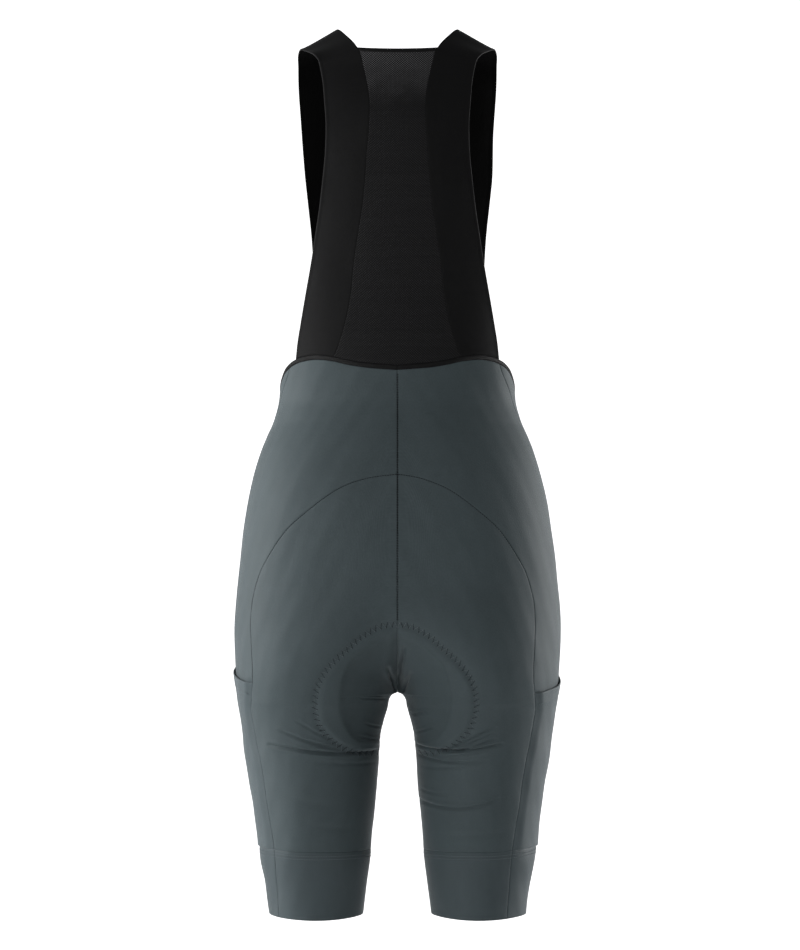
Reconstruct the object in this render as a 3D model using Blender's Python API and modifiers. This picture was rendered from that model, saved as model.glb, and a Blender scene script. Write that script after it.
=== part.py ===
"""Cargo cycling bib shorts, in the shape they take when worn, as thin sewn panels.

+Z is up, the wearer faces +Y and the wearer's left is -X. The origin is midway between the
tops of the two shoulder straps, which carry the garment. Tables are in millimetres and are
turned into metres as they are read.
"""

import math
from collections import namedtuple

import bpy
import numpy as np

MM = 0.001

# Driving dimensions, in metres
WALL = 1.2 * MM  # knit with its seams
SEAM_GAP = 0.6 * MM  # between neighbouring panels
CROTCH_Z = -683 * MM
CUFF_SEAM_Z = -847 * MM
CUFF_RISE = 4 * MM  # the cuff seam is this much higher at the side of the leg
HEM_Z = -911 * MM
LEVEL_Z = -438 * MM  # below this height the panels' rows are level
BACK_RISE = 110 * MM  # height above the crotch where the seat's cleft has closed
FRONT_RISE = 90 * MM
CROTCH_ROUND = 10 * MM  # how softly the legs part
BAND_HEIGHT = 5 * MM
BINDING_HEIGHT = 4.4 * MM
BINDING_WALL = 1.8 * MM
POCKET_STANDOFF = 0.9 * MM
POCKET_WALL = 1.0 * MM
PAD_CLEARANCE = 2.0 * MM
PAD_EDGE = 2.0 * MM
PAD_CROWN = 6.0 * MM  # added to the edge along the pad's middle
SIDE_SKEW = 4.5 * MM  # the side seams sit this much further out on the left leg than in the table
SKEW_FULL_X = 40 * MM  # and the arched seam reaches that skew here
POCKET_SKEW = 4.5 * MM  # the left pocket's top sits this much higher, the right one's lower
POCKET_LAP = 2 * MM  # least height of the row under the pocket's top
BIB_FOOT_Z = -338 * MM
NECK_BACK_SAG = 6 * MM  # the neck's middle is this far behind its corners
NECK_DROP = 1.5 * MM  # and this far below them

# The worn form at each height: half the width over both legs, half the gap between the legs,
# where each leg's or hip's lobe is centred, and how far the form reaches back and forward.
Section = namedtuple("Section", "z half_width gap lobe back front side_y")
FORM = (
    Section(-40, 119, 0, 0, 54, 47, 0),
    Section(-75, 130, 0, 0, 76, 66, 0),
    Section(-110, 134, 0, 0, 88, 80, 0),
    Section(-150, 133, 0, 0, 92, 90, 0),
    Section(-200, 128, 0, 0, 90, 95, 0),
    Section(-243, 124, 0, 0, 85, 94, 0),
    Section(-290, 121, 0, 0, 78, 90, 0),
    Section(-335, 119.5, 0, 0, 74, 87, 0),
    Section(-380, 121.5, 0, 5, 80, 89, 0),
    Section(-403, 127, 0, 12, 88, 91, -1),
    Section(-418, 133.5, 0, 20, 94, 93, -1),
    Section(-434, 140, 0, 27, 100, 95, -2),
    Section(-464, 149, 0, 38, 109, 97, -3),
    Section(-495, 155.5, 0, 46, 115, 98, -4),
    Section(-557, 163.3, 0, 60, 120, 97, -6),
    Section(-619, 168, 0, 73, 120, 92, -6),
    Section(-665, 166, 0, 82, 113, 88, -5),
    Section(-683, 163.8, 0, 84, 107, 87, -4),
    Section(-685, 163.5, 5.2, 84.5, 106, 87, -4),
    Section(-691, 162.8, 8.7, 85.5, 103, 86, -4),
    Section(-697, 161.8, 9.6, 86, 100, 86, -3),
    Section(-712, 159.5, 13.9, 87, 94, 85, -2),
    Section(-727, 157.5, 17.3, 87.5, 90, 85, -1),
    Section(-743, 156, 18.7, 87.5, 87, 84, 0),
    Section(-774, 150.8, 20.6, 86.5, 84, 82, 0),
    Section(-804, 146.2, 23.5, 85.5, 80, 79, 0),
    Section(-835, 142.8, 26.5, 85, 75, 75, 0),
    Section(-850, 142, 27.3, 84.8, 72, 73, 0),
    Section(-882, 136, 31.4, 84, 66, 68, 0),
    Section(-911, 132.3, 35, 83.7, 62, 64, 0),
)

# The waist edge, as its height at each angle round the body (-90 is centre back, 90 centre front)
WaistPoint = namedtuple("WaistPoint", "angle z")
WAIST = (
    WaistPoint(-90, -352.3),
    WaistPoint(-74, -349.7),
    WaistPoint(-64, -346.5),
    WaistPoint(-56, -343.2),
    WaistPoint(-46, -341.6),
    WaistPoint(-36, -343.3),
    WaistPoint(-27, -347),
    WaistPoint(-17, -354),
    WaistPoint(-8, -364),
    WaistPoint(5, -377),
    WaistPoint(25, -391),
    WaistPoint(50, -403),
    WaistPoint(90, -410),
)

# The arched seam over the seat, from its top at centre back, and on down the back of the side
SeamPoint = namedtuple("SeamPoint", "x z")
ARCH = (
    SeamPoint(0, -458.4),
    SeamPoint(22, -461.5),
    SeamPoint(40, -466.6),
    SeamPoint(56, -473.6),
    SeamPoint(73, -485),
    SeamPoint(90, -498.5),
    SeamPoint(106, -513),
    SeamPoint(117, -527),
    SeamPoint(127, -543),
    SeamPoint(135, -558),
    SeamPoint(140.5, -575),
    SeamPoint(144, -593),
    SeamPoint(145, -611),
    SeamPoint(144.3, -628),
    SeamPoint(143.6, -643),
    SeamPoint(143, -656),
    SeamPoint(143, -667),
    SeamPoint(143.6, -676),
    SeamPoint(144, -681),
    SeamPoint(144.2, -683),
    SeamPoint(144.3, -685),
    SeamPoint(144.6, -690),
    SeamPoint(145, -698),
    SeamPoint(143, -712),
    SeamPoint(140.5, -726),
    SeamPoint(138.6, -738),
    SeamPoint(136.5, -746),
    SeamPoint(134.6, -756),
    SeamPoint(132, -772),
    SeamPoint(129.6, -790),
    SeamPoint(126.8, -808),
    SeamPoint(123.6, -828),
)
ARCH_FOOT = (SeamPoint(121.3, -847), SeamPoint(119, -878), SeamPoint(116.5, -911))

# The side front seam, as its angle round the body at each height
SideSeamPoint = namedtuple("SideSeamPoint", "z angle")
SIDE_FRONT = (
    SideSeamPoint(-340, -28),
    SideSeamPoint(-352, -25),
    SideSeamPoint(-379, -14),
    SideSeamPoint(-396, -10),
    SideSeamPoint(-419, -1),
    SideSeamPoint(-450, 12),
    SideSeamPoint(-500, 24),
    SideSeamPoint(-560, 32),
    SideSeamPoint(-640, 38),
    SideSeamPoint(-760, 42),
    SideSeamPoint(-911, 45),
)

# The pocket's open top edge round the leg
POCKET_TOP = (
    WaistPoint(-55, -679),
    WaistPoint(-45, -677),
    WaistPoint(-20, -671),
    WaistPoint(0, -663),
    WaistPoint(20, -652),
    WaistPoint(45, -640),
)

# Half widths of the bib's back, from its foot to the neck: the mesh's seam and the free edge
BackWidth = namedtuple("BackWidth", "z seam edge")
BIB_BACK = (
    BackWidth(-347, 69.5, 105.5),
    BackWidth(-328, 60.5, 103.2),
    BackWidth(-305, 53.5, 99.6),
    BackWidth(-275, 47.5, 94.4),
    BackWidth(-245, 44.5, 89),
    BackWidth(-215, 40.3, 84.2),
    BackWidth(-187, 35.8, 80),
    BackWidth(-160, 33, 76.8),
    BackWidth(-130, 31, 74),
    BackWidth(-100, 28.7, 73.4),
    BackWidth(-78, 28.5, 75),
    BackWidth(-58, 31, 76.7),
    BackWidth(-40, 35, 80),
)

# The strap's two edges over the shoulder, from the neck's seam to the chest
ShoulderRow = namedtuple("ShoulderRow", "inner outer")
SHOULDER = (
    ShoulderRow((38.8, -45, -25.5), (82, -37.5, -33.5)),
    ShoulderRow((42.6, -37.5, -18.8), (85.5, -32, -29)),
    ShoulderRow((52.5, -19, -7.5), (94, -16, -21.5)),
    ShoulderRow((61.5, -1, 0), (101, 0, -18.6)),
    ShoulderRow((65, 16, -4.5), (103, 15, -24.5)),
    ShoulderRow((65.5, 31, -17), (103, 28, -37)),
)

# The front of the strap, from the chest down to the front of the waist
FrontWidth = namedtuple("FrontWidth", "z inner outer")
BIB_FRONT = (
    FrontWidth(-62, 63.5, 102.6),
    FrontWidth(-90, 60, 100.8),
    FrontWidth(-120, 57, 98.8),
    FrontWidth(-150, 54, 96.4),
    FrontWidth(-180, 51, 93.2),
    FrontWidth(-210, 48, 90),
    FrontWidth(-243, 45, 88),
    FrontWidth(-275, 42.5, 87.4),
    FrontWidth(-305, 40.5, 88.4),
    FrontWidth(-335, 39, 90.5),
    FrontWidth(-365, 38, 93),
    FrontWidth(-400, 37, 95.5),
)

# The pad, as lines that fan out from the middle of the crotch to its sewn edge: each starts at a
# height on the middle line and ends at a distance from it and a height on the leg.
PadLine = namedtuple("PadLine", "middle_z end_x end_z")
PAD_BACK = (
    PadLine(-617, 14, -616),
    PadLine(-632, 45, -630),
    PadLine(-649, 66, -652),
    PadLine(-663, 80, -674),
    PadLine(-673, 84, -699),
    PadLine(-679.5, 78.8, -720),
    PadLine(-682.4, 61.6, -736),
)
PAD_MIDDLE = PadLine(-683, 18, -748)
PAD_FRONT = (
    PadLine(-682.2, 40, -738),
    PadLine(-678, 58, -716),
    PadLine(-668, 64, -692),
    PadLine(-653, 58, -666),
    PadLine(-633, 40, -638),
    PadLine(-613, 16, -612),
)

# The deep folds under the seat, pressed into the panel from one end to the other
Fold = namedtuple("Fold", "start_x start_z end_x end_z depth reach")
SEAT_FOLDS = (
    Fold(124, -737, 40, -750, 2.8, 7),
    Fold(100, -727, 62, -741, 1.4, 6),
)

HIP_COLUMNS = 9
SEAT_COLUMNS = 9
FRONT_COLUMNS = 10
TOP_ROWS = 5
CUFF_ROWS = 4
CUFF_SIDE_COLUMNS = 6
CUFF_MAIN_COLUMNS = 20
STRAP_COLUMNS = 5
MESH_COLUMNS = 10
PAD_COLUMNS = 7
PAD_CROWDING = 1.8  # how the pad's columns crowd towards its middle
SEARCH_TURNS = 12  # of a search for where two curves meet
FINE_STEPS = 300  # along an outline that is measured
SIDES = (("left", -1), ("right", 1))

Look = namedtuple("Look", "colour roughness")
LOOKS = {
    "slate_knit": Look((0.075, 0.092, 0.100), 0.62),
    "pocket_knit": Look((0.082, 0.099, 0.107), 0.66),
    "cuff_knit": Look((0.070, 0.086, 0.094), 0.58),
    "black_knit": Look((0.010, 0.010, 0.011), 0.70),
    "black_mesh": Look((0.012, 0.012, 0.013), 0.80),
    "black_elastic": Look((0.008, 0.008, 0.009), 0.60),
    "pad_foam": Look((0.035, 0.040, 0.045), 0.85),
}


def smooth_curve(places, values):
    """A function through the values that doesn't overshoot them."""
    places = np.asarray(places, float)
    values = np.asarray(values, float)
    steps = np.diff(places)
    slopes = np.diff(values) / steps
    turns = slopes[:-1] * slopes[1:]
    sums = np.where(turns > 0, slopes[:-1] + slopes[1:], 1)
    middle = np.where(turns > 0, 2 * turns / sums, 0)
    tangents = np.concatenate([slopes[:1], middle, slopes[-1:]])

    def curve(at):
        at = np.clip(at, places[0], places[-1])
        i = np.clip(np.searchsorted(places, at) - 1, 0, len(steps) - 1)
        t = (at - places[i]) / steps[i]
        start = (1 + 2 * t) * (1 - t) ** 2 * values[i] + t * (1 - t) ** 2 * steps[i] * tangents[i]
        end = t * t * (3 - 2 * t) * values[i + 1] - t * t * (1 - t) * steps[i] * tangents[i + 1]
        return start + end

    return curve


def table_curve(rows, place, value, power=1):
    """A smooth curve from one column of a table to another, in metres where they are lengths."""
    rows = sorted(rows, key=lambda row: getattr(row, place))
    scale = {"angle": math.radians(1)}
    places = [getattr(row, place) * scale.get(place, MM) for row in rows]
    values = [(getattr(row, value) * scale.get(value, MM)) ** power for row in rows]
    return smooth_curve(places, values)


half_width = table_curve(FORM, "z", "half_width")
gap_squared = table_curve(FORM, "z", "gap", 2)
lobe_centre = table_curve(FORM, "z", "lobe")
back_reach = table_curve(FORM, "z", "back")
front_reach = table_curve(FORM, "z", "front")
side_y = table_curve(FORM, "z", "side_y")
waist_z = table_curve(WAIST, "angle", "z")
side_front_angle = table_curve(SIDE_FRONT, "z", "angle")
pocket_top_z = table_curve(POCKET_TOP, "angle", "z")
mesh_seam_x = table_curve(BIB_BACK, "z", "seam")
bib_edge_x = table_curve(BIB_BACK, "z", "edge")


def shape_at(z, behind):
    """The sizes of one half's lobe at a height: centre, bridge, inner and outer radius, y radius."""
    rise = np.where(behind, BACK_RISE, FRONT_RISE)
    closed = np.clip((z - CROTCH_Z) / rise, 0, 1)
    lobe = lobe_centre(z)
    inner = np.maximum(lobe - CROTCH_ROUND, 0)
    bridge = lobe - inner * (1 - closed)
    parted = np.sqrt(gap_squared(z) + CROTCH_ROUND**2) - CROTCH_ROUND
    outer = np.sqrt(half_width(z) ** 2 + bridge**2) - lobe
    depth = np.where(behind, back_reach(z) + side_y(z), front_reach(z) - side_y(z))
    return lobe, bridge, inner - parted, outer, depth


def on_form(angle, z):
    """The point of the right half at an angle round its lobe: 0 is the side, -90 the back."""
    lobe, bridge, inner, outer, depth = shape_at(z, np.sin(angle) < 0)
    across = lobe + np.where(np.cos(angle) > 0, outer, inner) * np.cos(angle)
    x = np.sqrt(np.maximum(across**2 - bridge**2, 0))
    y = side_y(z) + depth * np.sin(angle)
    return np.stack([x, y, z + 0 * angle], axis=-1)


def form_level(x, y, z):
    """Zero on the form, more outside it and less inside."""
    lobe, bridge, inner, outer, depth = shape_at(z, y < side_y(z))
    across = np.sqrt(x**2 + bridge**2) - lobe
    radius = np.where(across > 0, outer, np.maximum(inner, 1 * MM))
    return (across / radius) ** 2 + ((y - side_y(z)) / depth) ** 2


def form_normal(points):
    """Outward unit normals of the form at points on it."""
    x, y, z = points[..., 0], points[..., 1], points[..., 2]
    h = 0.2 * MM
    slope = [
        form_level(x + h, y, z) - form_level(x - h, y, z),
        form_level(x, y + h, z) - form_level(x, y - h, z),
        form_level(x, y, z + h) - form_level(x, y, z - h),
    ]
    slope = np.stack(slope, axis=-1)
    return slope / np.linalg.norm(slope, axis=-1, keepdims=True)


def angle_at(x, z, behind):
    """The angle on the form's back or front that lies at x."""
    lobe, bridge, inner, outer, _ = shape_at(z, behind)
    across = np.sqrt(x**2 + bridge**2) - lobe
    radius = np.where(across > 0, outer, np.maximum(inner, 1 * MM))
    angle = np.arccos(np.clip(across / radius, -1, 1))
    return -angle if behind else angle


def middle_angle(z, behind):
    """The angle where the form meets the middle plane; below the crotch, the inside of the leg."""
    rise = BACK_RISE if behind else FRONT_RISE
    angle = math.pi - np.arccos(1 - np.clip((z - CROTCH_Z) / rise, 0, 1))
    return -angle if behind else angle


def body_y(x, z, behind):
    """How far back or forward the upper body's form is at x."""
    round_off = np.sqrt(np.maximum(1 - (x / half_width(z)) ** 2, 0))
    return np.where(behind, -back_reach(z), front_reach(z)) * round_off


def arch_point(i, side, away):
    """A point of the arched seam, moved off it: away is positive towards the hip."""
    points = ARCH + ARCH_FOOT
    ahead, behind = points[min(i + 1, len(points) - 1)], points[max(i - 1, 0)]
    along = math.hypot(ahead.x - behind.x, ahead.z - behind.z)
    out_x, out_z = -(ahead.z - behind.z) / along, (ahead.x - behind.x) / along
    x = points[i].x * MM
    skew = side * SIDE_SKEW * min(1, x / SKEW_FULL_X)
    return x - skew + away * out_x, points[i].z * MM + away * out_z


def angle_over(length, z):
    """The angle that a short length takes round the side of the form."""
    _, _, _, outer, depth = shape_at(z, True)
    return 2 * length / (outer + depth)


def side_seam_angle(z, side, away=0):
    """The side front seam's angle, moved off it: away is positive towards the front."""
    return side_front_angle(z) + angle_over(away - side * SIDE_SKEW, z)


def top_row_z(angle, part, drop):
    """The height of a row of the upper block: part 0 is the waist edge and 1 the level row."""
    return (1 - part) * (waist_z(angle) - drop) + part * LEVEL_Z


def top_seam(part, side, away):
    """Where the side front seam crosses a row of the upper block."""
    z = LEVEL_Z
    for _ in range(SEARCH_TURNS):
        angle = side_seam_angle(z, side)
        z = top_row_z(angle, part, SEAM_GAP / 2)
    return side_seam_angle(z, side, away)


def spread(start, end, count):
    return start + (end - start) * np.linspace(0, 1, count + 1)


def even_angles(start, end, z, count):
    """Angles that divide the form's outline at a height into stretches of equal length."""
    fine = start + (end - start) * (1 - np.cos(np.linspace(0, math.pi, FINE_STEPS))) / 2
    steps = np.linalg.norm(np.diff(on_form(fine, z), axis=0), axis=1)
    length = np.concatenate([[0], np.cumsum(steps)])
    return np.interp(spread(0, length[-1], count), length, fine)


def cuff_seam_z(angle):
    return CUFF_SEAM_Z + CUFF_RISE * np.cos(angle) ** 2 * (np.cos(angle) > 0)


def top_rows(start, end, columns):
    """The rows from the waist edge to the level row, between two functions of the row's part."""
    rows = []
    for part in np.linspace(0, 1, TOP_ROWS + 1):
        angle = even_angles(start(part), end(part), top_row_z(0, part, 0), columns)
        rows.append((angle, top_row_z(angle, part, SEAM_GAP / 2)))
    return rows


def foot_row(start, end, columns):
    """The last row above the cuff's seam."""
    angle = even_angles(start, end, CUFF_SEAM_Z, columns)
    return angle, cuff_seam_z(angle) + SEAM_GAP / 2


def hip_rows(side):
    half = SEAM_GAP / 2
    rows = top_rows(lambda part: -math.pi / 2, lambda part: top_seam(part, side, -half), HIP_COLUMNS)
    for i in range(len(ARCH)):
        x, z = arch_point(i, side, half)
        end_z = ARCH[i].z * MM
        end = side_seam_angle(end_z, side, -half)
        angle = even_angles(angle_at(x, z, True), end, end_z, HIP_COLUMNS)
        rows.append((angle, spread(z, end_z, HIP_COLUMNS)))
    x, z = arch_point(len(ARCH), side, half)
    end = side_seam_angle(z, side, -half)
    return rows + [foot_row(angle_at(x, z, True), end, HIP_COLUMNS)]


def seat_rows(side):
    half = SEAM_GAP / 2
    rows = []
    for i in range(1, len(ARCH)):
        x, z = arch_point(i, side, -half)
        middle_z = ARCH[0].z * MM - half if i == 1 else ARCH[i].z * MM
        start = middle_angle(middle_z, True)
        angle = even_angles(start, angle_at(x, z, True), middle_z, SEAT_COLUMNS)
        rows.append((angle, spread(middle_z, z, SEAT_COLUMNS)))
    x, z = arch_point(len(ARCH), side, -half)
    return rows + [foot_row(-math.pi, angle_at(x, z, True), SEAT_COLUMNS)]


def front_rows(side):
    half = SEAM_GAP / 2
    rows = top_rows(lambda part: top_seam(part, side, half), lambda part: math.pi / 2, FRONT_COLUMNS)
    for point in ARCH:
        z = point.z * MM
        start = side_seam_angle(z, side, half)
        angle = even_angles(start, middle_angle(z, False), z, FRONT_COLUMNS)
        rows.append((angle, z + 0 * angle))
    start = side_seam_angle(CUFF_SEAM_Z, side, half)
    return rows + [foot_row(start, math.pi, FRONT_COLUMNS)]


def cuff_rows(start, end, columns):
    """Rows of a cuff piece, from its seam down to the hem, between two functions of the height."""
    rows = []
    for part in np.linspace(0, 1, CUFF_ROWS + 1):
        z = CUFF_SEAM_Z + part * (HEM_Z - CUFF_SEAM_Z)
        angle = even_angles(start(z), end(z), z, columns)
        top = cuff_seam_z(angle) - SEAM_GAP / 2
        rows.append((angle, top + part * (HEM_Z - top)))
    return rows


def side_back_angle(z, side, away):
    """The angle of the side back seam below the cuff's seam, moved off it towards the side."""
    foot = smooth_curve([p.z * -MM for p in ARCH_FOOT], [p.x * MM for p in ARCH_FOOT])
    return angle_at(foot(-z) - side * SIDE_SKEW, z, True) + angle_over(away, z)


def points_of(rows):
    return np.array([on_form(angle, z) for angle, z in rows])


def press_folds(points, folds):
    """Moves points inwards along the folds, which fade at their ends and to each side."""
    depth = np.zeros(points.shape[:2])
    for fold in folds:
        start = np.array([fold.start_x, fold.start_z]) * MM
        along = np.array([fold.end_x, fold.end_z]) * MM - start
        length = np.linalg.norm(along)
        offset = points[..., [0, 2]] - start
        part = offset @ along / length**2
        off = (offset[..., 0] * along[1] - offset[..., 1] * along[0]) / length
        fade = np.sin(math.pi * np.clip(part, 0, 1))
        depth += fold.depth * MM * fade * np.exp(-((off / (fold.reach * MM)) ** 2))
    return points - form_normal(points) * depth[..., None]


def part_at_middle(points, rows):
    """Moves points on the middle plane, or on the inside leg's seam, half a gap off it."""
    for row, (angle, z) in zip(points, rows):
        for end, turn in ((0, -1), (-1, 1)):
            above = z[end] >= CROTCH_Z and abs(row[end][0]) < SEAM_GAP / 2
            inside = z[end] <= CROTCH_Z and abs(abs(angle[end]) - math.pi) < 1e-6
            if above:
                row[end][0] = SEAM_GAP / 2
            if inside:
                row[end][1] += turn * SEAM_GAP / 2
    return points


def band_top(x, behind):
    """The waistband's upper edge at x, with the gap above it."""
    z = LEVEL_Z
    for _ in range(SEARCH_TURNS):
        turn = np.arccos(np.clip(np.abs(x) / half_width(z), 0, 1))
        z = waist_z(np.where(behind, -turn, turn)) + BAND_HEIGHT + SEAM_GAP
    return z


def body_row(inner, outer, z, behind, columns):
    """One row of the bib on the body; without a height it follows the waistband."""
    x = spread(inner, outer, columns)
    heights = band_top(x, behind) if z is None else z + 0 * x
    return np.stack([x, body_y(x, heights, behind), heights], axis=-1)


def strap_points():
    """Rows of the right strap, from the back of the waist over the shoulder to the front."""
    inset = SEAM_GAP / 2
    foot_inner, foot_outer = mesh_seam_x(BIB_FOOT_Z) + inset, bib_edge_x(BIB_FOOT_Z)
    rows = [body_row(foot_inner, foot_outer, None, True, STRAP_COLUMNS)]
    for row in BIB_BACK[1:]:
        rows.append(body_row(row.seam * MM + inset, row.edge * MM, row.z * MM, True, STRAP_COLUMNS))
    for row in SHOULDER:
        across = np.linspace(0, 1, STRAP_COLUMNS + 1)[:, None]
        inner, outer = np.array(row.inner) * MM, np.array(row.outer) * MM
        rows.append(inner + (outer - inner) * across)
    for row in BIB_FRONT[:-1]:
        rows.append(body_row(row.inner * MM, row.outer * MM, row.z * MM, False, STRAP_COLUMNS))
    foot = BIB_FRONT[-1]
    rows.append(body_row(foot.inner * MM, foot.outer * MM, None, False, STRAP_COLUMNS))
    return np.array(rows)


def mesh_points():
    """Rows of the mesh panel, seam to seam, from the waistband up to the neck."""
    inset = SEAM_GAP / 2
    foot = mesh_seam_x(BIB_FOOT_Z) - inset
    rows = [body_row(-foot, foot, None, True, MESH_COLUMNS)]
    for row in BIB_BACK[1:]:
        seam = row.seam * MM - inset
        rows.append(body_row(-seam, seam, row.z * MM, True, MESH_COLUMNS))
    rows.append(neck_row(0))
    return np.array(rows)


def neck_row(rise):
    """A row across the back of the neck, this far above the mesh panel's top."""
    low, high = np.array(SHOULDER[0].inner) * MM, np.array(SHOULDER[1].inner) * MM
    corner = low + (high - low) * rise / (high[2] - low[2])
    across = np.linspace(-1, 1, MESH_COLUMNS + 1)
    bow = 1 - across**2
    x = across * (corner[0] - SEAM_GAP)
    return np.stack([x, corner[1] - NECK_BACK_SAG * bow, corner[2] - NECK_DROP * bow], axis=-1)


def binding_points():
    rises = (SEAM_GAP, SEAM_GAP + BINDING_HEIGHT / 2, SEAM_GAP + BINDING_HEIGHT)
    return np.array([neck_row(rise) for rise in rises])


def mesh_object(name, points, look, wall, side=1, ring=False):
    """A panel: a grid of points as an open surface, thickened inwards by its wall."""
    rows, columns = points.shape[:2]
    points = points * [side, 1, 1]
    faces = []
    for r in range(rows - 1):
        for c in range(columns if ring else columns - 1):
            d = (c + 1) % columns
            face = (r * columns + c, (r + 1) * columns + c, (r + 1) * columns + d, r * columns + d)
            faces.append(face if side > 0 else face[::-1])
    mesh = bpy.data.meshes.new(name)
    mesh.from_pydata(points.reshape(-1, 3).tolist(), [], faces)
    obj = bpy.data.objects.new(name, mesh)
    COLLECTION.objects.link(obj)
    mesh.materials.append(material(look))
    mesh.shade_smooth()
    solidify = obj.modifiers.new("wall", "SOLIDIFY")
    solidify.thickness = wall
    solidify.offset = -1
    return obj


def material(name):
    if name in bpy.data.materials:
        return bpy.data.materials[name]
    made = bpy.data.materials.new(name)
    made.use_nodes = True
    shader = made.node_tree.nodes["Principled BSDF"]
    shader.inputs["Base Color"].default_value = (*LOOKS[name].colour, 1)
    shader.inputs["Roughness"].default_value = LOOKS[name].roughness
    return made


def clear_scene():
    for obj in list(bpy.data.objects):
        bpy.data.objects.remove(obj, do_unlink=True)


def make_bib():
    for name, side in SIDES:
        mesh_object(f"bib_strap_{name}", strap_points()[::-1], "black_knit", WALL, side)
    mesh_object("back_mesh_panel", mesh_points()[::-1], "black_mesh", WALL)
    mesh_object("neck_binding", binding_points()[::-1], "black_elastic", BINDING_WALL)


def make_waistband():
    """One elastic ring on the waist edge, with its columns where the panels below have theirs."""
    halves = []
    for _, side in SIDES:
        seam, z = top_seam(0, side, 0), waist_z(0)
        behind = even_angles(-math.pi / 2, seam, z, HIP_COLUMNS)
        ahead = even_angles(seam, math.pi / 2, z, FRONT_COLUMNS)
        angle = np.concatenate([behind, ahead[1:]])
        rises = (BAND_HEIGHT, BAND_HEIGHT / 2, SEAM_GAP / 2)
        rows = [on_form(angle, waist_z(angle) + rise) * [side, 1, 1] for rise in rises]
        halves.append(np.array(rows))
    left, right = halves
    ring = np.concatenate([right, left[:, -2:0:-1]], axis=1)
    mesh_object("waistband", ring, "black_elastic", WALL, ring=True)


def make_shorts():
    for name, side in SIDES:
        pieces = (
            ("hip", hip_rows(side), ()),
            ("seat", seat_rows(side), SEAT_FOLDS),
            ("front", front_rows(side), ()),
        )
        for piece, rows, folds in pieces:
            points = press_folds(part_at_middle(points_of(rows), rows), folds)
            mesh_object(f"{piece}_panel_{name}", points, "slate_knit", WALL, side)


def make_cuffs():
    half = SEAM_GAP / 2
    for name, side in SIDES:
        outer = cuff_rows(
            lambda z: side_back_angle(z, side, half),
            lambda z: side_seam_angle(z, side, -half),
            CUFF_SIDE_COLUMNS,
        )
        inner = cuff_rows(
            lambda z: side_seam_angle(z, side, half),
            lambda z: side_back_angle(z, side, -half) + 2 * math.pi,
            CUFF_MAIN_COLUMNS,
        )
        mesh_object(f"cuff_side_{name}", points_of(outer), "cuff_knit", WALL, side)
        mesh_object(f"cuff_main_{name}", points_of(inner), "cuff_knit", WALL, side)


def make_pockets():
    """Each pocket is the hip panel's lower part, moved out."""
    for name, side in SIDES:
        rows = hip_rows(side)
        top = pocket_top_z(rows[-1][0]) - side * POCKET_SKEW
        first = max(i for i, (_, z) in enumerate(rows) if (z > top).any())
        edge = (rows[first][0], top)
        below = [row for row in rows[first + 1 :] if (row[1] < top - POCKET_LAP).all()]
        points = points_of([edge] + below)
        points = points + form_normal(points) * (POCKET_STANDOFF + POCKET_WALL)
        mesh_object(f"pocket_{name}", points, "pocket_knit", POCKET_WALL, side)


def make_pad():
    """The pad follows the inside of the crotch, thickest along its middle."""
    across = np.linspace(0, 1, PAD_COLUMNS + 1) ** PAD_CROWDING
    lines = []
    for line in PAD_BACK + (PAD_MIDDLE,) + PAD_FRONT:
        behind = line not in PAD_FRONT
        start = middle_angle(line.middle_z * MM, behind)
        end = angle_at(line.end_x * MM, line.end_z * MM, behind)
        height = line.middle_z * MM + (line.end_z - line.middle_z) * MM * across
        lines.append(on_form(start + (end - start) * across, height))
    points = np.array(lines)
    normals = form_normal(points)
    across = across[None, :, None]
    ends = np.sin(math.pi * (np.arange(len(lines)) + 0.5) / len(lines))[:, None, None]
    thickness = PAD_EDGE + PAD_CROWN * (1 - across**2) * np.sqrt(ends)
    outside = points - normals * (WALL + PAD_CLEARANCE)
    inside = outside - normals * thickness
    closed_loft("seat_pad", both_halves(outside), both_halves(inside), "pad_foam")


def both_halves(half):
    """A grid whose first column is on the middle plane, with its mirrored copy."""
    return np.concatenate([half[:, :0:-1] * [-1, 1, 1], half], axis=1)


def closed_loft(name, outside, inside, look):
    """A closed body between two grids of the same size, joined round their rims."""
    rows, columns = outside.shape[:2]
    count = rows * columns
    faces = []
    for r in range(rows - 1):
        for c in range(columns - 1):
            a, b = r * columns + c, (r + 1) * columns + c
            faces.append((a, b, b + 1, a + 1))
            faces.append((count + a, count + a + 1, count + b + 1, count + b))
    rim = [c for c in range(columns)] + [r * columns + columns - 1 for r in range(1, rows)]
    rim += [(rows - 1) * columns + c for c in range(columns - 2, -1, -1)]
    rim += [r * columns for r in range(rows - 2, 0, -1)]
    for a, b in zip(rim, rim[1:] + rim[:1]):
        faces.append((a, b, count + b, count + a))
    mesh = bpy.data.meshes.new(name)
    mesh.from_pydata(np.concatenate([outside, inside]).reshape(-1, 3).tolist(), [], faces)
    mesh.materials.append(material(look))
    mesh.shade_smooth()
    COLLECTION.objects.link(bpy.data.objects.new(name, mesh))


clear_scene()
COLLECTION = bpy.data.collections.new("cargo_bib_shorts")
bpy.context.scene.collection.children.link(COLLECTION)
make_bib()
make_waistband()
make_shorts()
make_cuffs()
make_pockets()
make_pad()
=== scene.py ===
"""Builds worn cargo cycling bib shorts, as sewn stretch panels round an open, hollow form.

Run it as a script. +Z is up, the wearer faces +Y and the wearer's left is -X, as in the frame
that it loads. Tables are in millimetres and are turned into metres as they are read.
"""

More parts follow.
